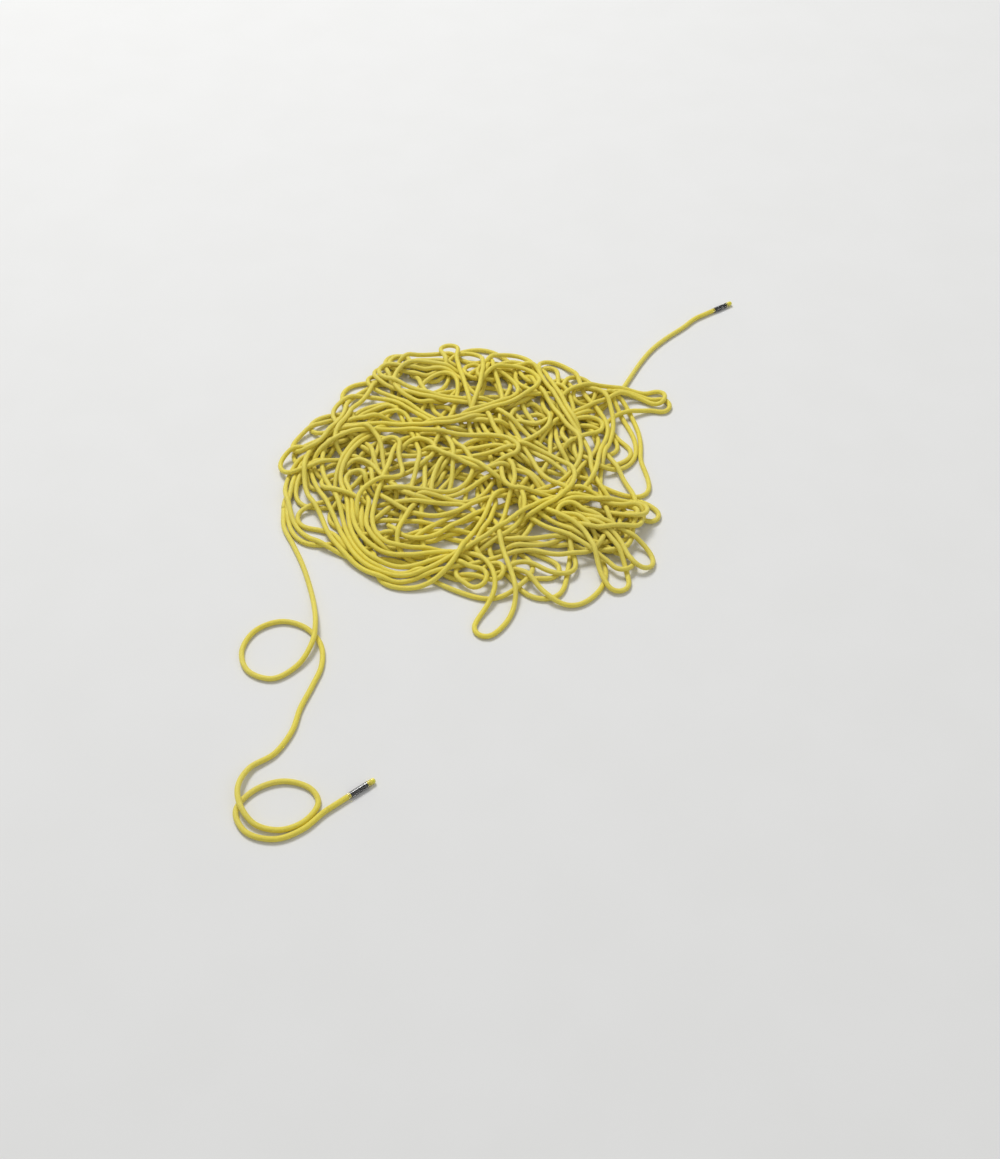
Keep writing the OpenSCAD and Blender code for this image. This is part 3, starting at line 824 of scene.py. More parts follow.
def carried_frames(centres):
    """Two directions across the rope at each ring, carried along it without twist."""
    t = ways(centres)
    side = np.zeros_like(t)
    side[0] = unit(np.cross(t[0], (0, 0, 1)))
    for k in range(1, len(t)):
        s = side[k - 1] - t[k] * (side[k - 1] @ t[k])
        side[k] = s / math.sqrt(s @ s)
    return side, np.cross(side, t)


near_line = tail_line(NEAR_ROUTE, NEAR_END_AT, NEAR_END_HEADING)
far_line = tail_line(FAR_ROUTE, FAR_END_AT, FAR_END_HEADING)
near_end_at = near_line[-1]
far_end_at = far_line[-1]
end_stations = np.arange(0, END_LEN + END_RING / 2, END_RING)[:, None]

stretches = {
    "near_sheath_end": (near_end_at + end_stations * heading(NEAR_END_HEADING))[::-1],
    "near_tail": rung(near_line[::-1], *TAIL_RINGS),
    "rope_pile": rung(through(heap_line(), steps=3), *HEAP_RINGS),
    "far_tail": rung(far_line, *TAIL_RINGS),
    "far_sheath_end": far_end_at + end_stations * heading(FAR_END_HEADING),
}
centres = np.vstack([line[:-1] for line in stretches.values()] + [stretches["far_sheath_end"][-1:]])
rope_side, rope_up = carried_frames(centres)
rope_run = run_of(centres)
rings_of = {}
first_ring = 0
for stretch, line in stretches.items():
    rings_of[stretch] = slice(first_ring, first_ring + len(line))
    first_ring += len(line) - 1

# ---------------------------------------------------------------- meshes

# How a tube's skin is cut into rows that fill the square, for its baked colours.
ROW_MARGIN = 0.06
SIDE_MARGIN = 0.002
# A yarn's rounded crown, as a power of its sine, and how far it dips where it goes under.
CROWN = 0.6
DIP = 0.4


def angles(sides):
    """The angles of the points of a ring."""
    return 2 * np.pi * np.arange(sides) / sides


def new_piece(name, points, faces):
    """A smooth mesh object from points in millimetres and arrays of faces."""
    mesh = bpy.data.meshes.new(name)
    mesh.vertices.add(len(points))
    mesh.vertices.foreach_set("co", (np.asarray(points) * MM).astype(np.float32).ravel())
    sizes = np.concatenate([np.full(len(f), f.shape[1]) for f in faces])
    starts = np.concatenate([[0], np.cumsum(sizes)[:-1]])
    corners = np.concatenate([f.ravel() for f in faces])
    mesh.loops.add(len(corners))
    mesh.loops.foreach_set("vertex_index", corners.astype(np.int32))
    mesh.polygons.add(len(sizes))
    mesh.polygons.foreach_set("loop_start", starts.astype(np.int32))
    mesh.polygons.foreach_set("use_smooth", np.ones(len(sizes), bool))
    mesh.update(calc_edges=True)
    mesh.validate()
    piece = bpy.data.objects.new(name, mesh)
    bpy.context.scene.collection.objects.link(piece)
    return piece


def quads(rings, sides):
    """Faces between rings of points."""
    k = np.arange(rings - 1)[:, None] * sides
    i = np.arange(sides)[None, :]
    j = (i + 1) % sides
    return np.stack([k + i, k + sides + i, k + sides + j, k + j], axis=2).reshape(-1, 4)


def closed_skin(rings, sides):
    """Faces between rings of points, with a cap on the first ring and one on the last."""
    i = np.arange(sides)[None, :]
    return [quads(rings, sides), i, (rings - 1) * sides + i[:, ::-1]]


def turned(faces):
    """The same faces, seen from their other side."""
    return [f[:, ::-1] for f in faces]


def lay_uv(piece, name, values):
    layer = piece.data.uv_layers.new(name=name)
    layer.data.foreach_set("uv", np.asarray(values, np.float32).ravel())


def tube_points(stretch, radius, sides):
    """Rings of points round a stretch of the rope; radius is one number or one for each point."""
    part = rings_of[stretch]
    angle = angles(sides)
    out = (np.cos(angle)[None, :, None] * rope_side[part][:, None]
           + np.sin(angle)[None, :, None] * rope_up[part][:, None])
    radius = np.broadcast_to(radius, (len(out), sides))[:, :, None]
    return (centres[part][:, None] + radius * out).reshape(-1, 3)


def round_and_along(stretch, sides):
    """For each corner of the tube's faces: the share of the way round, and metres along the rope."""
    run = rope_run[rings_of[stretch]] * MM
    k = np.arange(len(run) - 1)[:, None]
    i = np.arange(sides)[None, :]
    ones = np.ones_like(k)
    around = np.stack([ones * i, ones * i, ones * (i + 1), ones * (i + 1)], axis=2) / sides
    low, high = run[k] + 0 * i, run[k + 1] + 0 * i
    return around.reshape(-1), np.stack([low, high, high, low], axis=2).reshape(-1)


def folded(around, run, rows):
    """The long strip of a tube's skin, cut into rows that fill one square."""
    run = run - run.min()
    place = run / run.max() * rows * (1 - 1e-6)
    row = np.floor(place.reshape(-1, 4).min(axis=1) + 1e-9).repeat(4)
    u = SIDE_MARGIN + (1 - 2 * SIDE_MARGIN) * np.clip(place - row, 0, 1)
    v = (row + ROW_MARGIN + (1 - 2 * ROW_MARGIN) * around) / rows
    return np.column_stack([u, v])


def rope_tube(name, sides, rows):
    """A closed tube for one stretch of the rope, with the sheath's braid laid out on it."""
    part = rings_of[name]
    points = tube_points(name, ROPE_R, sides)
    piece = new_piece(name + "_rope", points, closed_skin(part.stop - part.start, sides))
    around, run = round_and_along(name, sides)
    angle = angles(sides)
    cap = 0.5 + 0.5 * np.column_stack([np.cos(angle), np.sin(angle)])
    flat = np.column_stack([around, run])
    lay_uv(piece, "Braid", np.vstack([flat, [[0.5, run.min()]] * sides, [[0.5, run.max()]] * sides]))
    lay_uv(piece, "OFBake", np.vstack([folded(around, run, rows), cap * 0.001, cap * 0.001]))
    return piece


def braid_height(around, run):
    """Height of the braid, 0 in the gaps and 1 on top of a yarn, as the sheath's material has it."""
    turns = run / YARN_TURN
    a = (around + turns) * CARRIERS
    b = (around - turns) * CARRIERS
    step = (np.floor(a) + np.floor(b)) % 4
    fa, fb = a % 1, b % 1
    a_on_top = step < 2
    across = np.where(a_on_top, fa, fb)
    lengthwise = np.where(a_on_top, (step + fb) / 2, (step - 2 + fa) / 2)
    return np.sin(np.pi * across) ** CROWN * (1 - DIP + DIP * np.sin(np.pi * lengthwise))


# ---------------------------------------------------------------- materials


def tone(red, green, blue):
    """A colour as it looks on a screen, turned into the linear one that materials use."""
    curve = [c / 12.92 if c <= 0.04045 else ((c + 0.055) / 1.055) ** 2.4 for c in (red, green, blue)]
    return (*curve, 1.0)


class Wiring:
    """Adds nodes to one tree and joins them up."""

    def __init__(self, tree):
        self.tree = tree

    def join(self, value, socket):
        """Puts a number or colour on a socket, or links another socket to it."""
        if isinstance(value, bpy.types.NodeSocket):
            self.tree.links.new(value, socket)
        else:
            socket.default_value = value

    def node(self, kind, settings=None, **inputs):
        """A new node; an input's name is written with _ for a space."""
        made = self.tree.nodes.new(kind)
        for key, value in (settings or {}).items():
            setattr(made, key, value)
        for key, value in inputs.items():
            self.join(value, made.inputs[key.replace("_", " ")])
        return made

    def sums(self, operation, *values):
        """The outcome of one step of arithmetic."""
        made = self.node("ShaderNodeMath", {"operation": operation})
        for value, socket in zip(values, made.inputs):
            self.join(value, socket)
        return made.outputs[0]

    def blend(self, share, first, second):
        """The first colour where the share is 0, and the second where it is 1."""
        made = self.node("ShaderNodeMix", {"data_type": "RGBA"})
        self.join(share, made.inputs[0])
        self.join(first, made.inputs[6])
        self.join(second, made.inputs[7])
        return made.outputs[2]

    def spread(self, value, low, high):
        """Rises softly from 0 to 1 as the value goes from low to high."""
        settings = {"interpolation_type": "SMOOTHSTEP"}
        made = self.node("ShaderNodeMapRange", settings, Value=value, From_Min=low, From_Max=high)
        return made.outputs["Result"]

    def noise(self, place, scale, detail=2.0, roughness=0.5):
        made = self.node("ShaderNodeTexNoise", Vector=place, Scale=scale, Detail=detail, Roughness=roughness)
        return made.outputs["Fac"]

    def solid(self):
        """The place in the piece itself."""
        return self.node("ShaderNodeTexCoord").outputs["Object"]

    def bump(self, height, strength, depth):
        return self.node("ShaderNodeBump", Height=height, Strength=strength, Distance=depth).outputs["Normal"]

    def placed(self, group, **inputs):
        """The outputs of a node group, placed here with its own values."""
        return self.node("ShaderNodeGroup", {"node_tree": group}, **inputs).outputs


def new_group(name, inputs, outputs):
    """A shader node group; inputs are (name, kind, value) and outputs are (name, kind)."""
    group = bpy.data.node_groups.new(name, "ShaderNodeTree")
    for label, kind, value in inputs:
        socket = group.interface.new_socket(name=label, in_out="INPUT", socket_type="NodeSocket" + kind)
        if value is not None:
            socket.default_value = value
    for label, kind in outputs:
        group.interface.new_socket(name=label, in_out="OUTPUT", socket_type="NodeSocket" + kind)
    wiring = Wiring(group)
    return wiring, wiring.node("NodeGroupInput").outputs, wiring.node("NodeGroupOutput").inputs


def make_braid_group():
    """Carriers that pass over two and under two: height of the yarns, a shade for each, its plies."""
    w, given, out = new_group(
        "braided_carriers",
        [("Place", "Vector", None), ("Carriers", "Float", CARRIERS), ("Yarn turn", "Float", YARN_TURN)],
        [("Height", "Float"), ("Shade", "Float"), ("Plies", "Float")],
    )
    place = w.node("ShaderNodeSeparateXYZ", Vector=given["Place"]).outputs
    carriers = given["Carriers"]
    turns = w.sums("DIVIDE", place["Y"], given["Yarn turn"])
    a = w.sums("MULTIPLY", w.sums("ADD", place["X"], turns), carriers)
    b = w.sums("MULTIPLY", w.sums("SUBTRACT", place["X"], turns), carriers)
    a_cell, b_cell = w.sums("FLOOR", a), w.sums("FLOOR", b)
    a_in, b_in = w.sums("SUBTRACT", a, a_cell), w.sums("SUBTRACT", b, b_cell)
    step = w.sums("FLOORED_MODULO", w.sums("ADD", a_cell, b_cell), 4.0)
    b_on_top = w.sums("GREATER_THAN", step, 1.5)

    def either(when_a, when_b):
        made = w.node("ShaderNodeMix")
        w.join(b_on_top, made.inputs[0])
        w.join(when_a, made.inputs[2])
        w.join(when_b, made.inputs[3])
        return made.outputs[0]

    across = either(a_in, b_in)
    along_a = w.sums("ADD", step, b_in)
    along_b = w.sums("ADD", w.sums("SUBTRACT", step, 2.0), a_in)
    lengthwise = w.sums("MULTIPLY", either(along_a, along_b), 0.5)
    crown = w.sums("POWER", w.sums("SINE", w.sums("MULTIPLY", across, math.pi)), CROWN)
    arch = w.sums("SINE", w.sums("MULTIPLY", lengthwise, math.pi))
    arch = w.sums("MULTIPLY_ADD", arch, DIP, 1 - DIP)
    w.join(w.sums("MULTIPLY", crown, arch), out["Height"])
    # Each yarn of either way has a number, and so a shade, of its own.
    a_number = w.sums("FLOORED_MODULO", a_cell, carriers)
    b_number = w.sums("ADD", w.sums("FLOORED_MODULO", b_cell, carriers), 100.0)
    shade = w.node("ShaderNodeTexWhiteNoise", {"noise_dimensions": "1D"}, W=either(a_number, b_number))
    w.join(shade.outputs["Value"], out["Shade"])
    plies = w.sums("COSINE", w.sums("MULTIPLY", across, 6 * math.pi))
    w.join(w.sums("MULTIPLY_ADD", plies, -0.5, 0.5), out["Plies"])
    return w.tree


def make_handling_group():
    """Dust and rubbing from use: soft patches of two sizes, 0 clean and 1 dusty."""
    w, given, out = new_group(
        "handling_dust",
        [("Patch size", "Float", 40.0), ("Grain size", "Float", 900.0)],
        [("Dust", "Float")],
    )
    place = w.solid()
    patches = w.noise(place, given["Patch size"], detail=3.0, roughness=0.6)
    grain = w.noise(place, given["Grain size"], roughness=0.6)
    w.join(w.spread(w.sums("MULTIPLY_ADD", grain, 0.35, patches), 0.52, 0.92), out["Dust"])
    return w.tree


def new_material(name, **fixed):
    """A material with one Principled shader; fixed numbers go on the shader's own sockets."""
    material = bpy.data.materials.new(name)
    material.use_nodes = True
    shader = material.node_tree.nodes["Principled BSDF"]
    for key, value in fixed.items():
        shader.inputs[key.replace("_", " ")].default_value = value
    return material, Wiring(material.node_tree), shader.inputs


def make_sheath_material():
    """Braided polyamide yarns, each in a tone of its own, raised by the braid and a little dusty, with
    painted shade in the gaps between yarns and a painted highlight along the plies.
    """
    material, w, skin = new_material("braided_sheath", Sheen_Weight=0.12, Sheen_Roughness=0.4)
    place = w.node("ShaderNodeUVMap", {"uv_map": "Braid"}).outputs["UV"]
    braid = w.placed(BRAID, Place=place, Carriers=CARRIERS, Yarn_turn=YARN_TURN)
    dust = w.placed(HANDLING, Patch_size=9.0, Grain_size=700.0)["Dust"]
    drift = w.spread(w.noise(w.solid(), 5.0), 0.35, 0.65)
    yarn = w.blend(drift, tone(0.98, 0.93, 0.29), tone(0.96, 0.92, 0.38))
    yarn = w.blend(w.sums("MULTIPLY", braid["Shade"], 0.40), yarn, tone(0.90, 0.79, 0.12))
    yarn = w.blend(w.sums("MULTIPLY", dust, 0.15), yarn, tone(0.74, 0.68, 0.40))
    # Painted highlight: the yarn is painted paler along the raised middle of each ply.
    yarn = w.blend(w.sums("MULTIPLY", braid["Plies"], 0.18), yarn, tone(1.00, 0.97, 0.62))
    # Painted shade: the gaps between the yarns are painted a darker orange-yellow, as if shaded.
    out_of_gap = w.spread(braid["Height"], 0.05, 0.62)
    w.join(w.blend(out_of_gap, tone(0.72, 0.54, 0.04), yarn), skin["Base Color"])
    w.join(w.sums("MULTIPLY_ADD", dust, 0.2, 0.46), skin["Roughness"])
    height = w.sums("MULTIPLY_ADD", braid["Plies"], 0.08, braid["Height"])
    w.join(w.bump(height, 0.75, 0.3 * MM), skin["Normal"])
    return material


def make_plies_material(name, light, dark, roughness):
    """Twisted filament yarn: fine fibres, some in clumps, between a light and a dark tone."""
    material, w, skin = new_material(name, Sheen_Weight=0.2, Sheen_Roughness=0.35)
    solid = w.solid()
    fibres = w.noise(solid, 2600.0, roughness=0.6)
    clumps = w.noise(solid, 500.0, detail=1.0)
    share = w.sums("MULTIPLY_ADD", fibres, 0.6, w.sums("MULTIPLY", clumps, 0.4))
    w.join(w.blend(w.spread(share, 0.3, 0.7), dark, light), skin["Base Color"])
    w.join(w.sums("MULTIPLY_ADD", fibres, 0.2, roughness), skin["Roughness"])
    w.join(w.bump(fibres, 0.4, 0.05 * MM), skin["Normal"])
    return material


def make_film_material():
    """Black label film with fine scuffs and a little dust."""
    material, w, skin = new_material("label_film", Coat_Weight=0.4, Coat_Roughness=0.1)
    dust = w.placed(HANDLING, Patch_size=120.0, Grain_size=2500.0)["Dust"]
    solid = w.solid()
    scuffs = w.spread(w.noise(solid, 1400.0, detail=4.0, roughness=0.7), 0.6, 0.75)
    film = w.blend(w.sums("MULTIPLY", scuffs, 0.25), tone(0.03, 0.03, 0.035), tone(0.20, 0.20, 0.21))
    w.join(w.blend(w.sums("MULTIPLY", dust, 0.06), film, tone(0.5, 0.48, 0.42)), skin["Base Color"])
    w.join(w.sums("MULTIPLY_ADD", scuffs, 0.3, 0.28), skin["Roughness"])
    w.join(w.bump(w.noise(solid, 600.0, detail=3.0), 0.2, 0.1 * MM), skin["Normal"])
    return material


def make_clear_material():
    """Clear shrunk plastic, duller where dust sticks to it."""
    material, w, skin = new_material("clear_shrink_tube", Transmission_Weight=1.0, IOR=1.48,
                                     Base_Color=tone(0.97, 0.97, 0.96))
    dust = w.placed(HANDLING, Patch_size=160.0, Grain_size=3000.0)["Dust"]
    ripple = w.noise(w.solid(), 260.0)
    w.join(w.sums("MULTIPLY_ADD", dust, 0.12, 0.08), skin["Roughness"])
    w.join(w.sums("MULTIPLY_ADD", dust, 0.12, 0.42), skin["Alpha"])
    w.join(w.bump(ripple, 0.25, 0.25 * MM), skin["Normal"])
    return material


def make_melt_material():
    """Melted polyamide, glossy and scorched brown in places."""
    material, w, skin = new_material("melted_polyamide", Coat_Weight=0.5, Coat_Roughness=0.08,
                                     Subsurface_Weight=0.15, Subsurface_Scale=1.5 * MM)
    solid = w.solid()
    flow = w.noise(solid, 420.0, detail=3.0, roughness=0.55)
    scorch = w.spread(w.noise(solid, 230.0, detail=4.0, roughness=0.6), 0.6, 0.72)
    melt = w.blend(w.spread(flow, 0.35, 0.65), tone(0.88, 0.83, 0.14), tone(0.97, 0.94, 0.36))
    w.join(w.blend(w.sums("MULTIPLY", scorch, 0.55), melt, tone(0.45, 0.30, 0.08)), skin["Base Color"])
    w.join(w.sums("MULTIPLY_ADD", scorch, 0.25, 0.2), skin["Roughness"])
    w.join(w.bump(flow, 0.35, 0.25 * MM), skin["Normal"])
    return material


BRAID = make_braid_group()
HANDLING = make_handling_group()
SHEATH = make_sheath_material()
CORE = make_plies_material("white_core_plies", tone(0.95, 0.95, 0.93), tone(0.82, 0.81, 0.77), 0.45)
MARKER = make_plies_material("blue_marker_plies", tone(0.20, 0.45, 0.78), tone(0.10, 0.26, 0.52), 0.5)
FILM = make_film_material()
CLEAR = make_clear_material()
MELT = make_melt_material()


def finished(piece, material, slot, *nodes):
    """Gives a piece its material and puts it in the place of these nodes; slot is not used."""
    piece.data.materials.append(material)
    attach(piece, "root")
    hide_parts(*nodes)
    return piece


# ---------------------------------------------------------------- the loose rope

TAIL_SIDES = 20
HEAP_SIDES = 12
HEAP_ROWS = 43
NEAR_TAIL_ROWS = 7
FAR_TAIL_ROWS = 3


def loose_rope(stretch, sides, rows):
    return finished(rope_tube(stretch, sides, rows), SHEATH, "rope_sheath", stretch)


near_tail = loose_rope("near_tail", TAIL_SIDES, NEAR_TAIL_ROWS)
rope_heap = loose_rope("rope_pile", HEAP_SIDES, HEAP_ROWS)
far_tail = loose_rope("far_tail", TAIL_SIDES, FAR_TAIL_ROWS)

# ---------------------------------------------------------------- the straight ends

SHEATH_SIDES = 120
SLEEVE_SIDES = 72
# How far the gaps between yarns lie below the yarns: bare, and pressed flatter in the tube.
YARN_DEPTH = 0.24
PRESSED_DEPTH = 0.10
PRESSED_OVER = 3
# The braid is smooth where it joins the loose rope, and rises over this length.
BRAID_RISES_OVER = 30

CORE_STRANDS = 12
INNER_STRANDS = 3
OUTER_STRANDS = CORE_STRANDS - INNER_STRANDS
# Radii of the two rings of strands, as shares of a strand's own radius.
INNER_RING_SHARE = 1.1547
OUTER_RING_SHARE = 3.06
STRAND_R = (BORE_R - STRAND_PLAY) / (OUTER_RING_SHARE + 1)
INNER_RING_R = INNER_RING_SHARE * STRAND_R + STRAND_PLAY / 4
OUTER_RING_R = OUTER_RING_SHARE * STRAND_R
MARKER_RING_R = BORE_R - MARKER_D / 2 - STRAND_PLAY / 4
MARKER_ANGLE = 20
STRAND_TWIST = 13.0
MARKER_TWIST = 5.0

LABEL_FROM = BARE_LEN + (SHRINK_LEN - LABEL_LEN) / 2
FILM_EDGE = 0.05
FILM_RING = 0.65
TUBE_RING = 0.5
TUBE_LIP = 0.12
TUBE_WAVE = 0.03
# The braid's ribs, as they show through what is shrunk over them.
RIB_DEPTH = 0.012
RIBS = 12
RIB_SLANT = 1.6

DOME_FROM = 3.5
DOME_RINGS = 26
ENDS = {"near": (near_end_at, NEAR_END_HEADING), "far": (far_end_at, FAR_END_HEADING)}


def put_at_end(end, local):
    """Points drawn along Z from the loose rope to the tip, moved to where that end lies."""
    at, angle = ENDS[end]
    way = heading(angle)
    down = np.array([0.0, 0.0, -1.0])
    side = np.array([-way[1], way[0], 0.0])
    local = np.asarray(local)
    return at + local[:, :1] * down + local[:, 1:2] * side + local[:, 2:3] * way


def put_rings(end, radius, angle, height):
    """Rings of points in cylinder coordinates about an end's own line, moved to where it lies."""
    local = np.stack([radius * np.cos(angle), radius * np.sin(angle), height], axis=2)
    return put_at_end(end, local.reshape(-1, 3))


def braided_end(end):
    """The hollow sheath at one end, its yarns raised in the mesh, pressed flatter in the tube."""
    name = end + "_sheath_end"
    part = rings_of[name]
    count = part.stop - part.start
    run = rope_run[part] * MM
    across = np.arange(SHEATH_SIDES) / SHEATH_SIDES
    from_loose = np.linspace(0, END_LEN, count)
    if end == "near":
        from_loose = from_loose[::-1]
    pressed = np.clip((from_loose - BARE_LEN + PRESSED_OVER / 2) / PRESSED_OVER, 0, 1)
    depth = YARN_DEPTH + (PRESSED_DEPTH - YARN_DEPTH) * pressed
    drop = depth * np.clip(from_loose / BRAID_RISES_OVER, 0, 1)
    height = braid_height(across[None, :], run[:, None])
    outside = tube_points(name, ROPE_R - drop[:, None] * (1 - height), SHEATH_SIDES)
    bore = tube_points(name, BORE_R, SHEATH_SIDES)
    mouths = np.vstack([bore[:SHEATH_SIDES], bore[-SHEATH_SIDES:]])
    i = np.arange(SHEATH_SIDES)
    j = (i + 1) % SHEATH_SIDES
    last = (count - 1) * SHEATH_SIDES
    first_in, last_in = count * SHEATH_SIDES, (count + 1) * SHEATH_SIDES
    first_face = np.column_stack([i, j, first_in + j, first_in + i])
    last_face = np.column_stack([last + j, last + i, last_in + i, last_in + j])
    inside = np.column_stack([first_in + i, first_in + j, last_in + j, last_in + i])
    faces = [quads(count, SHEATH_SIDES), first_face, last_face, inside]
    piece = new_piece(name + "_braid", np.vstack([outside, mouths]), faces)
    flat = np.column_stack(round_and_along(name, SHEATH_SIDES))
    unseen = np.tile([[0.5, run.min()]], (3 * 4 * SHEATH_SIDES, 1))
    lay_uv(piece, "Braid", np.vstack([flat, unseen]))
    return finished(piece, SHEATH, "rope_sheath", name)


def lathed(name, end, profile, shape):
    """A ring of material: profile is a closed loop of (radius, height), shaped all round."""
    profile = np.array(profile, float)
    count = len(profile)
    angle = angles(SLEEVE_SIDES)
    radius = np.broadcast_to(profile[:, :1], (count, SLEEVE_SIDES))
    height = np.broadcast_to(profile[:, 1:], (count, SLEEVE_SIDES))
    points = put_rings(end, shape(radius, height, angle), angle, height)
    k = np.arange(count)[:, None] * SLEEVE_SIDES
    i = np.arange(SLEEVE_SIDES)[None, :]
    j = (i + 1) % SLEEVE_SIDES
    above = (k + SLEEVE_SIDES) % (count * SLEEVE_SIDES)
    faces = np.stack([k + i, k + j, above + j, above + i], axis=2)
    return new_piece(name, points, [faces.reshape(-1, 4)])


def ribs(height, angle):
    """The braid's relief as it shows through a film or a tube, from -RIB_DEPTH to RIB_DEPTH."""
    one_way = np.sin(RIBS * angle + RIB_SLANT * height)
    other_way = np.sin(RIBS * angle - RIB_SLANT * height)
    return RIB_DEPTH * one_way * other_way


def label_film(end):
    """A bare film wrapped once round the sheath, with the braid showing through it."""
    low, high = LABEL_FROM, LABEL_FROM + LABEL_LEN
    inner = ROPE_R + SLEEVE_PLAY
    heights = np.arange(low + FILM_EDGE, high - FILM_EDGE + 1e-6, FILM_RING)
    profile = [(inner, low), (inner + FILM_EDGE, low), (LABEL_R - 0.02, low + 0.01)]
    profile += [(LABEL_R, h) for h in heights]
    profile += [(LABEL_R - 0.02, high - 0.01), (inner + FILM_EDGE, high), (inner, high)]

    def ribbed(radius, height, angle):
        is_skin = radius > inner + FILM_EDGE
        return radius + np.where(is_skin, ribs(height, angle) - RIB_DEPTH, 0)

    piece = lathed(end + "_label_film", end, profile, ribbed)
    return finished(piece, FILM, "label_print", end + "_label_band")


def shrink_sleeve(end):
    """Clear tube shrunk over the label: snug on it, and drawn in to the sheath past its ends."""
    low, high = BARE_LEN, BARE_LEN + SHRINK_LEN
    heights = np.arange(low, high + 1e-6, TUBE_RING)
    past = np.maximum(LABEL_FROM - heights, heights - LABEL_FROM - LABEL_LEN)
    drawn_in = (LABEL_R - ROPE_R - 0.03) * np.clip((past - 0.3) / 2.5, 0, 1) ** 1.5
    bore = SHRINK_BORE_R - drawn_in
    skin = bore + SHRINK_WALL
    first_lip = [(skin[0] - TUBE_LIP, low), (skin[0], low + TUBE_LIP)]
    last_lip = [(skin[-1], high - TUBE_LIP), (skin[-1] - TUBE_LIP, high)]
    outside = first_lip + list(zip(skin[1:-1], heights[1:-1])) + last_lip
    inside = list(zip(bore, heights))[::-1]

    def uneven(radius, height, angle):
        wave = 0.02 * np.sin(3 * angle + 0.35 * height) + 0.012 * np.sin(5 * angle - 0.8 * height)
        is_skin = radius > SHRINK_BORE_R + 0.02
        return radius - np.where(is_skin, TUBE_WAVE - wave + RIB_DEPTH - ribs(height, angle), 0)

    piece = lathed(end + "_shrink_sleeve", end, outside + inside, uneven)
    return finished(piece, CLEAR, "shrink_clear", end + "_shrink_tube")


def melted_knob(end):
    """Sheath and core melted into one smooth lump, with the yarn ends still showing at its rim."""
    r = ROPE_R + TIP_PROUD
    angle = angles(SLEEVE_SIDES)
    bend = np.radians(np.linspace(0, 88, DOME_RINGS))
    profile = [(r - 0.9, 0), (r - 0.35, 0.05), (r - 0.1, 0.3), (r, 0.8)]
    profile += [(r, h) for h in np.linspace(1.1, DOME_FROM - 0.2, 8)]
    profile += [(r * math.cos(b), DOME_FROM + (TIP_LEN - DOME_FROM) * math.sin(b)) for b in bend]
    profile = np.array(profile)
    lift = profile[:, 1:] / TIP_LEN
    ridges = 0.10 * np.cos(CARRIERS * angle)[None, :] * np.clip(1 - 2.2 * lift, 0, 1)
    lumps = (0.20 * np.sin(2 * angle + 1.0) + 0.10 * np.sin(3 * angle - 0.6 + 3 * lift)
             + 0.07 * np.sin(5 * angle + 6 * lift))
    radius = profile[:, :1] * (1 + (ridges + lumps * np.sin(np.pi * np.clip(lift, 0, 1))) / r - 0.045)
    height = profile[:, 1:] - 0.12 * lift * (1 + np.sin(2 * angle + 2.2))[None, :]
    points = put_rings(end, radius, angle, END_LEN + height)
    piece = new_piece(end + "_melted_knob", points, turned(closed_skin(len(profile), SLEEVE_SIDES)))
    return finished(piece, MELT, "melted_polyamide", end + "_melted_tip")


def plied(name, end, at, outer, plies, pitch, corners, step):
    """A straight strand of plies twisted round each other, closed at both ends."""
    ply = outer / (1 + 1 / math.sin(math.pi / plies))
    centre = outer - ply
    heights = np.linspace(0, END_LEN, round(END_LEN / step) + 1)
    angle = angles(corners)
    turn = 2 * np.pi * heights[:, None] / pitch
    share = 2 * np.pi / plies
    off = (angle[None, :] + 0 * turn + share / 2) % share - share / 2
    radius = centre * np.cos(off) + np.sqrt(np.maximum(ply ** 2 - (centre * np.sin(off)) ** 2, 0))
    x = at[0] + radius * np.cos(angle + turn)
    y = at[1] + radius * np.sin(angle + turn)
    z = np.broadcast_to(heights[:, None], x.shape)
    points = put_at_end(end, np.stack([x, y, z], axis=2).reshape(-1, 3))
    return new_piece(name, points, turned(closed_skin(len(heights), corners)))


def core_plies(end, number):
    """One of the core's strands, three plies of white yarn twisted left or right by turns."""
    if number <= INNER_STRANDS:
        ring_r = INNER_RING_R
        angle = math.radians(MARKER_ANGLE + 360 / INNER_STRANDS * number)
    else:
        ring_r = OUTER_RING_R
        angle = math.radians(360 / OUTER_STRANDS * number)
    at = (ring_r * math.cos(angle), ring_r * math.sin(angle))
    pitch = STRAND_TWIST if number % 2 else -STRAND_TWIST
    name = f"{end}_core_strand_{number}"
    piece = plied(name + "_plies", end, at, STRAND_R, plies=3, pitch=pitch, corners=18, step=1.1)
    return finished(piece, CORE, "core_yarn", name)


def marker_plies(end):
    """The thin coloured yarn that lies between two outer strands, against the sheath."""
    angle = math.radians(MARKER_ANGLE)
    at = (MARKER_RING_R * math.cos(angle), MARKER_RING_R * math.sin(angle))
    name = end + "_marker_yarn"
    piece = plied(name + "_plies", end, at, MARKER_D / 2, plies=2, pitch=MARKER_TWIST, corners=12, step=0.8)
    return finished(piece, MARKER, "marker_yarn", name)


def rope_end(end):
    """All the pieces of one finished end."""
    pieces = [braided_end(end), label_film(end), shrink_sleeve(end), melted_knob(end)]
    pieces += [core_plies(end, number) for number in range(1, CORE_STRANDS + 1)]
    return pieces + [marker_plies(end)]


near_end = rope_end("near")
far_end = rope_end("far")
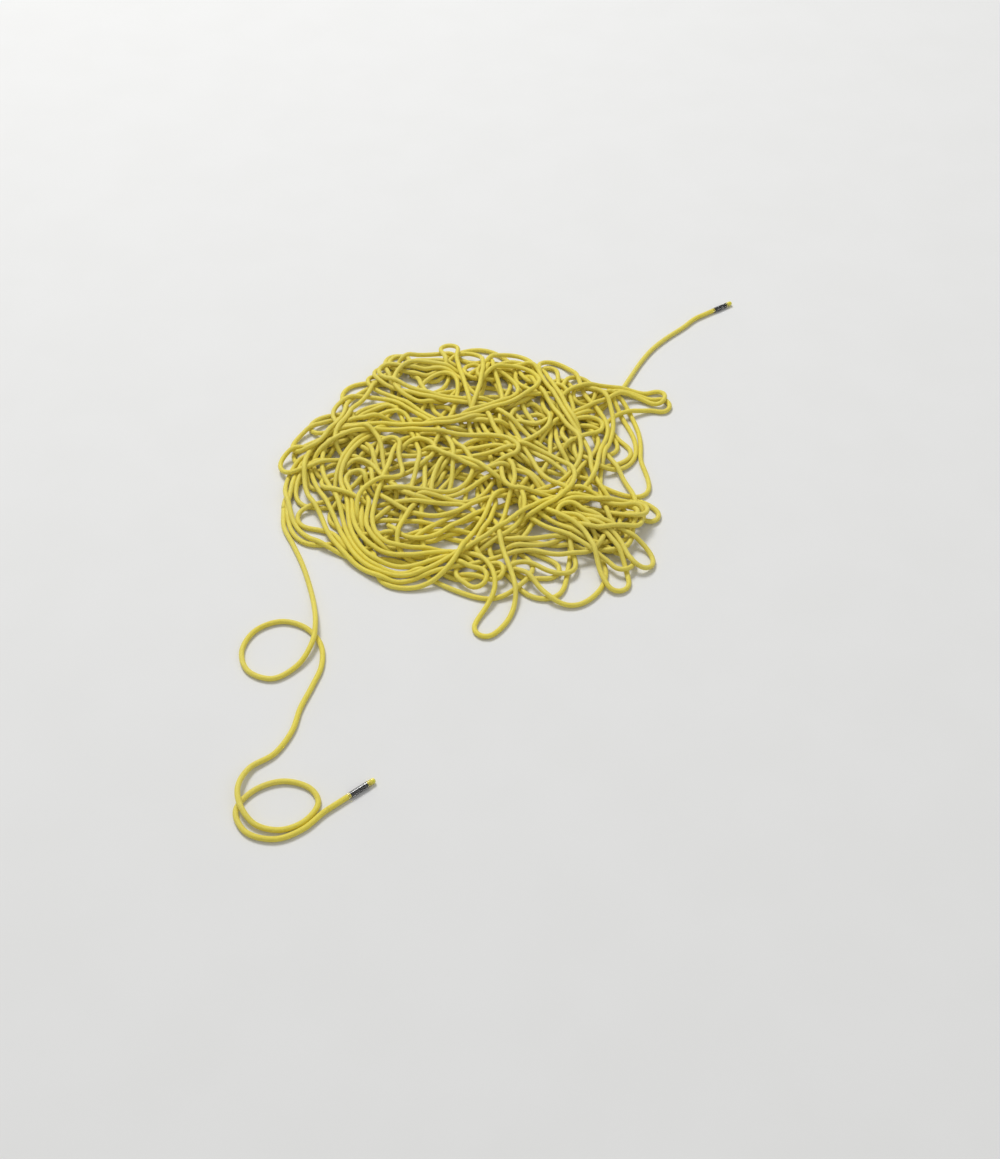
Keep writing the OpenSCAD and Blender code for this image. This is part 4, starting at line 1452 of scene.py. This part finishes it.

# ---------------------------------------------------------------- floor, lights and camera

FLOOR_SIZE = 60
FLOOR_CELLS = 8
ROOM_LIGHT = 0.42
WINDOW_AT = (-2.4, 5.2, 8.0)
WINDOW_AIM = (-0.1, 0.0, 0)
WINDOW_SIZE = 3.1
WINDOW_POWER = 610
FILL_AT = (4.2, -3.6, 4.6)
FILL_AIM = (0, 0, 0)
FILL_SIZE = 4.0
FILL_POWER = 30
CAMERA_AT = (-0.030, -1.995, 2.026)
CAMERA_DOWN = 47.5
LENS = 45.04
SENSOR = 36


def make_floor():
    """A plain pale floor, very faintly mottled."""
    bpy.ops.mesh.primitive_grid_add(x_subdivisions=FLOOR_CELLS, y_subdivisions=FLOOR_CELLS, size=FLOOR_SIZE)
    floor = bpy.context.object
    floor.name = "floor"
    material, w, skin = new_material("pale_floor", Roughness=0.9)
    mottle = w.spread(w.noise(w.solid(), 6.0, detail=3.0), 0.3, 0.7)
    w.join(w.blend(mottle, tone(0.905, 0.905, 0.900), tone(0.910, 0.910, 0.906)), skin["Base Color"])
    floor.data.materials.append(material)


def make_light(name, at, aim, size, power):
    data = bpy.data.lights.new(name, "AREA")
    data.size = size
    data.energy = power
    lamp = bpy.data.objects.new(name, data)
    bpy.context.scene.collection.objects.link(lamp)
    lamp.location = at
    lamp.rotation_euler = (Vector(aim) - Vector(at)).to_track_quat("-Z", "Y").to_euler()


def make_world():
    world = bpy.data.worlds.new("soft_room")
    bpy.context.scene.world = world
    world.use_nodes = True
    back = world.node_tree.nodes["Background"].inputs
    back["Color"].default_value = (1, 1, 1, 1)
    back["Strength"].default_value = ROOM_LIGHT


def make_camera():
    data = bpy.data.cameras.new("camera")
    data.lens = LENS
    data.sensor_width = SENSOR
    camera = bpy.data.objects.new("camera", data)
    bpy.context.scene.collection.objects.link(camera)
    camera.location = CAMERA_AT
    camera.rotation_euler = (math.radians(90 - CAMERA_DOWN), 0, 0)
    bpy.context.scene.camera = camera


make_floor()
make_world()
make_light("window", WINDOW_AT, WINDOW_AIM, WINDOW_SIZE, WINDOW_POWER)
make_light("fill", FILL_AT, FILL_AIM, FILL_SIZE, FILL_POWER)
make_camera()
bpy.context.scene.view_settings.view_transform = "Standard"
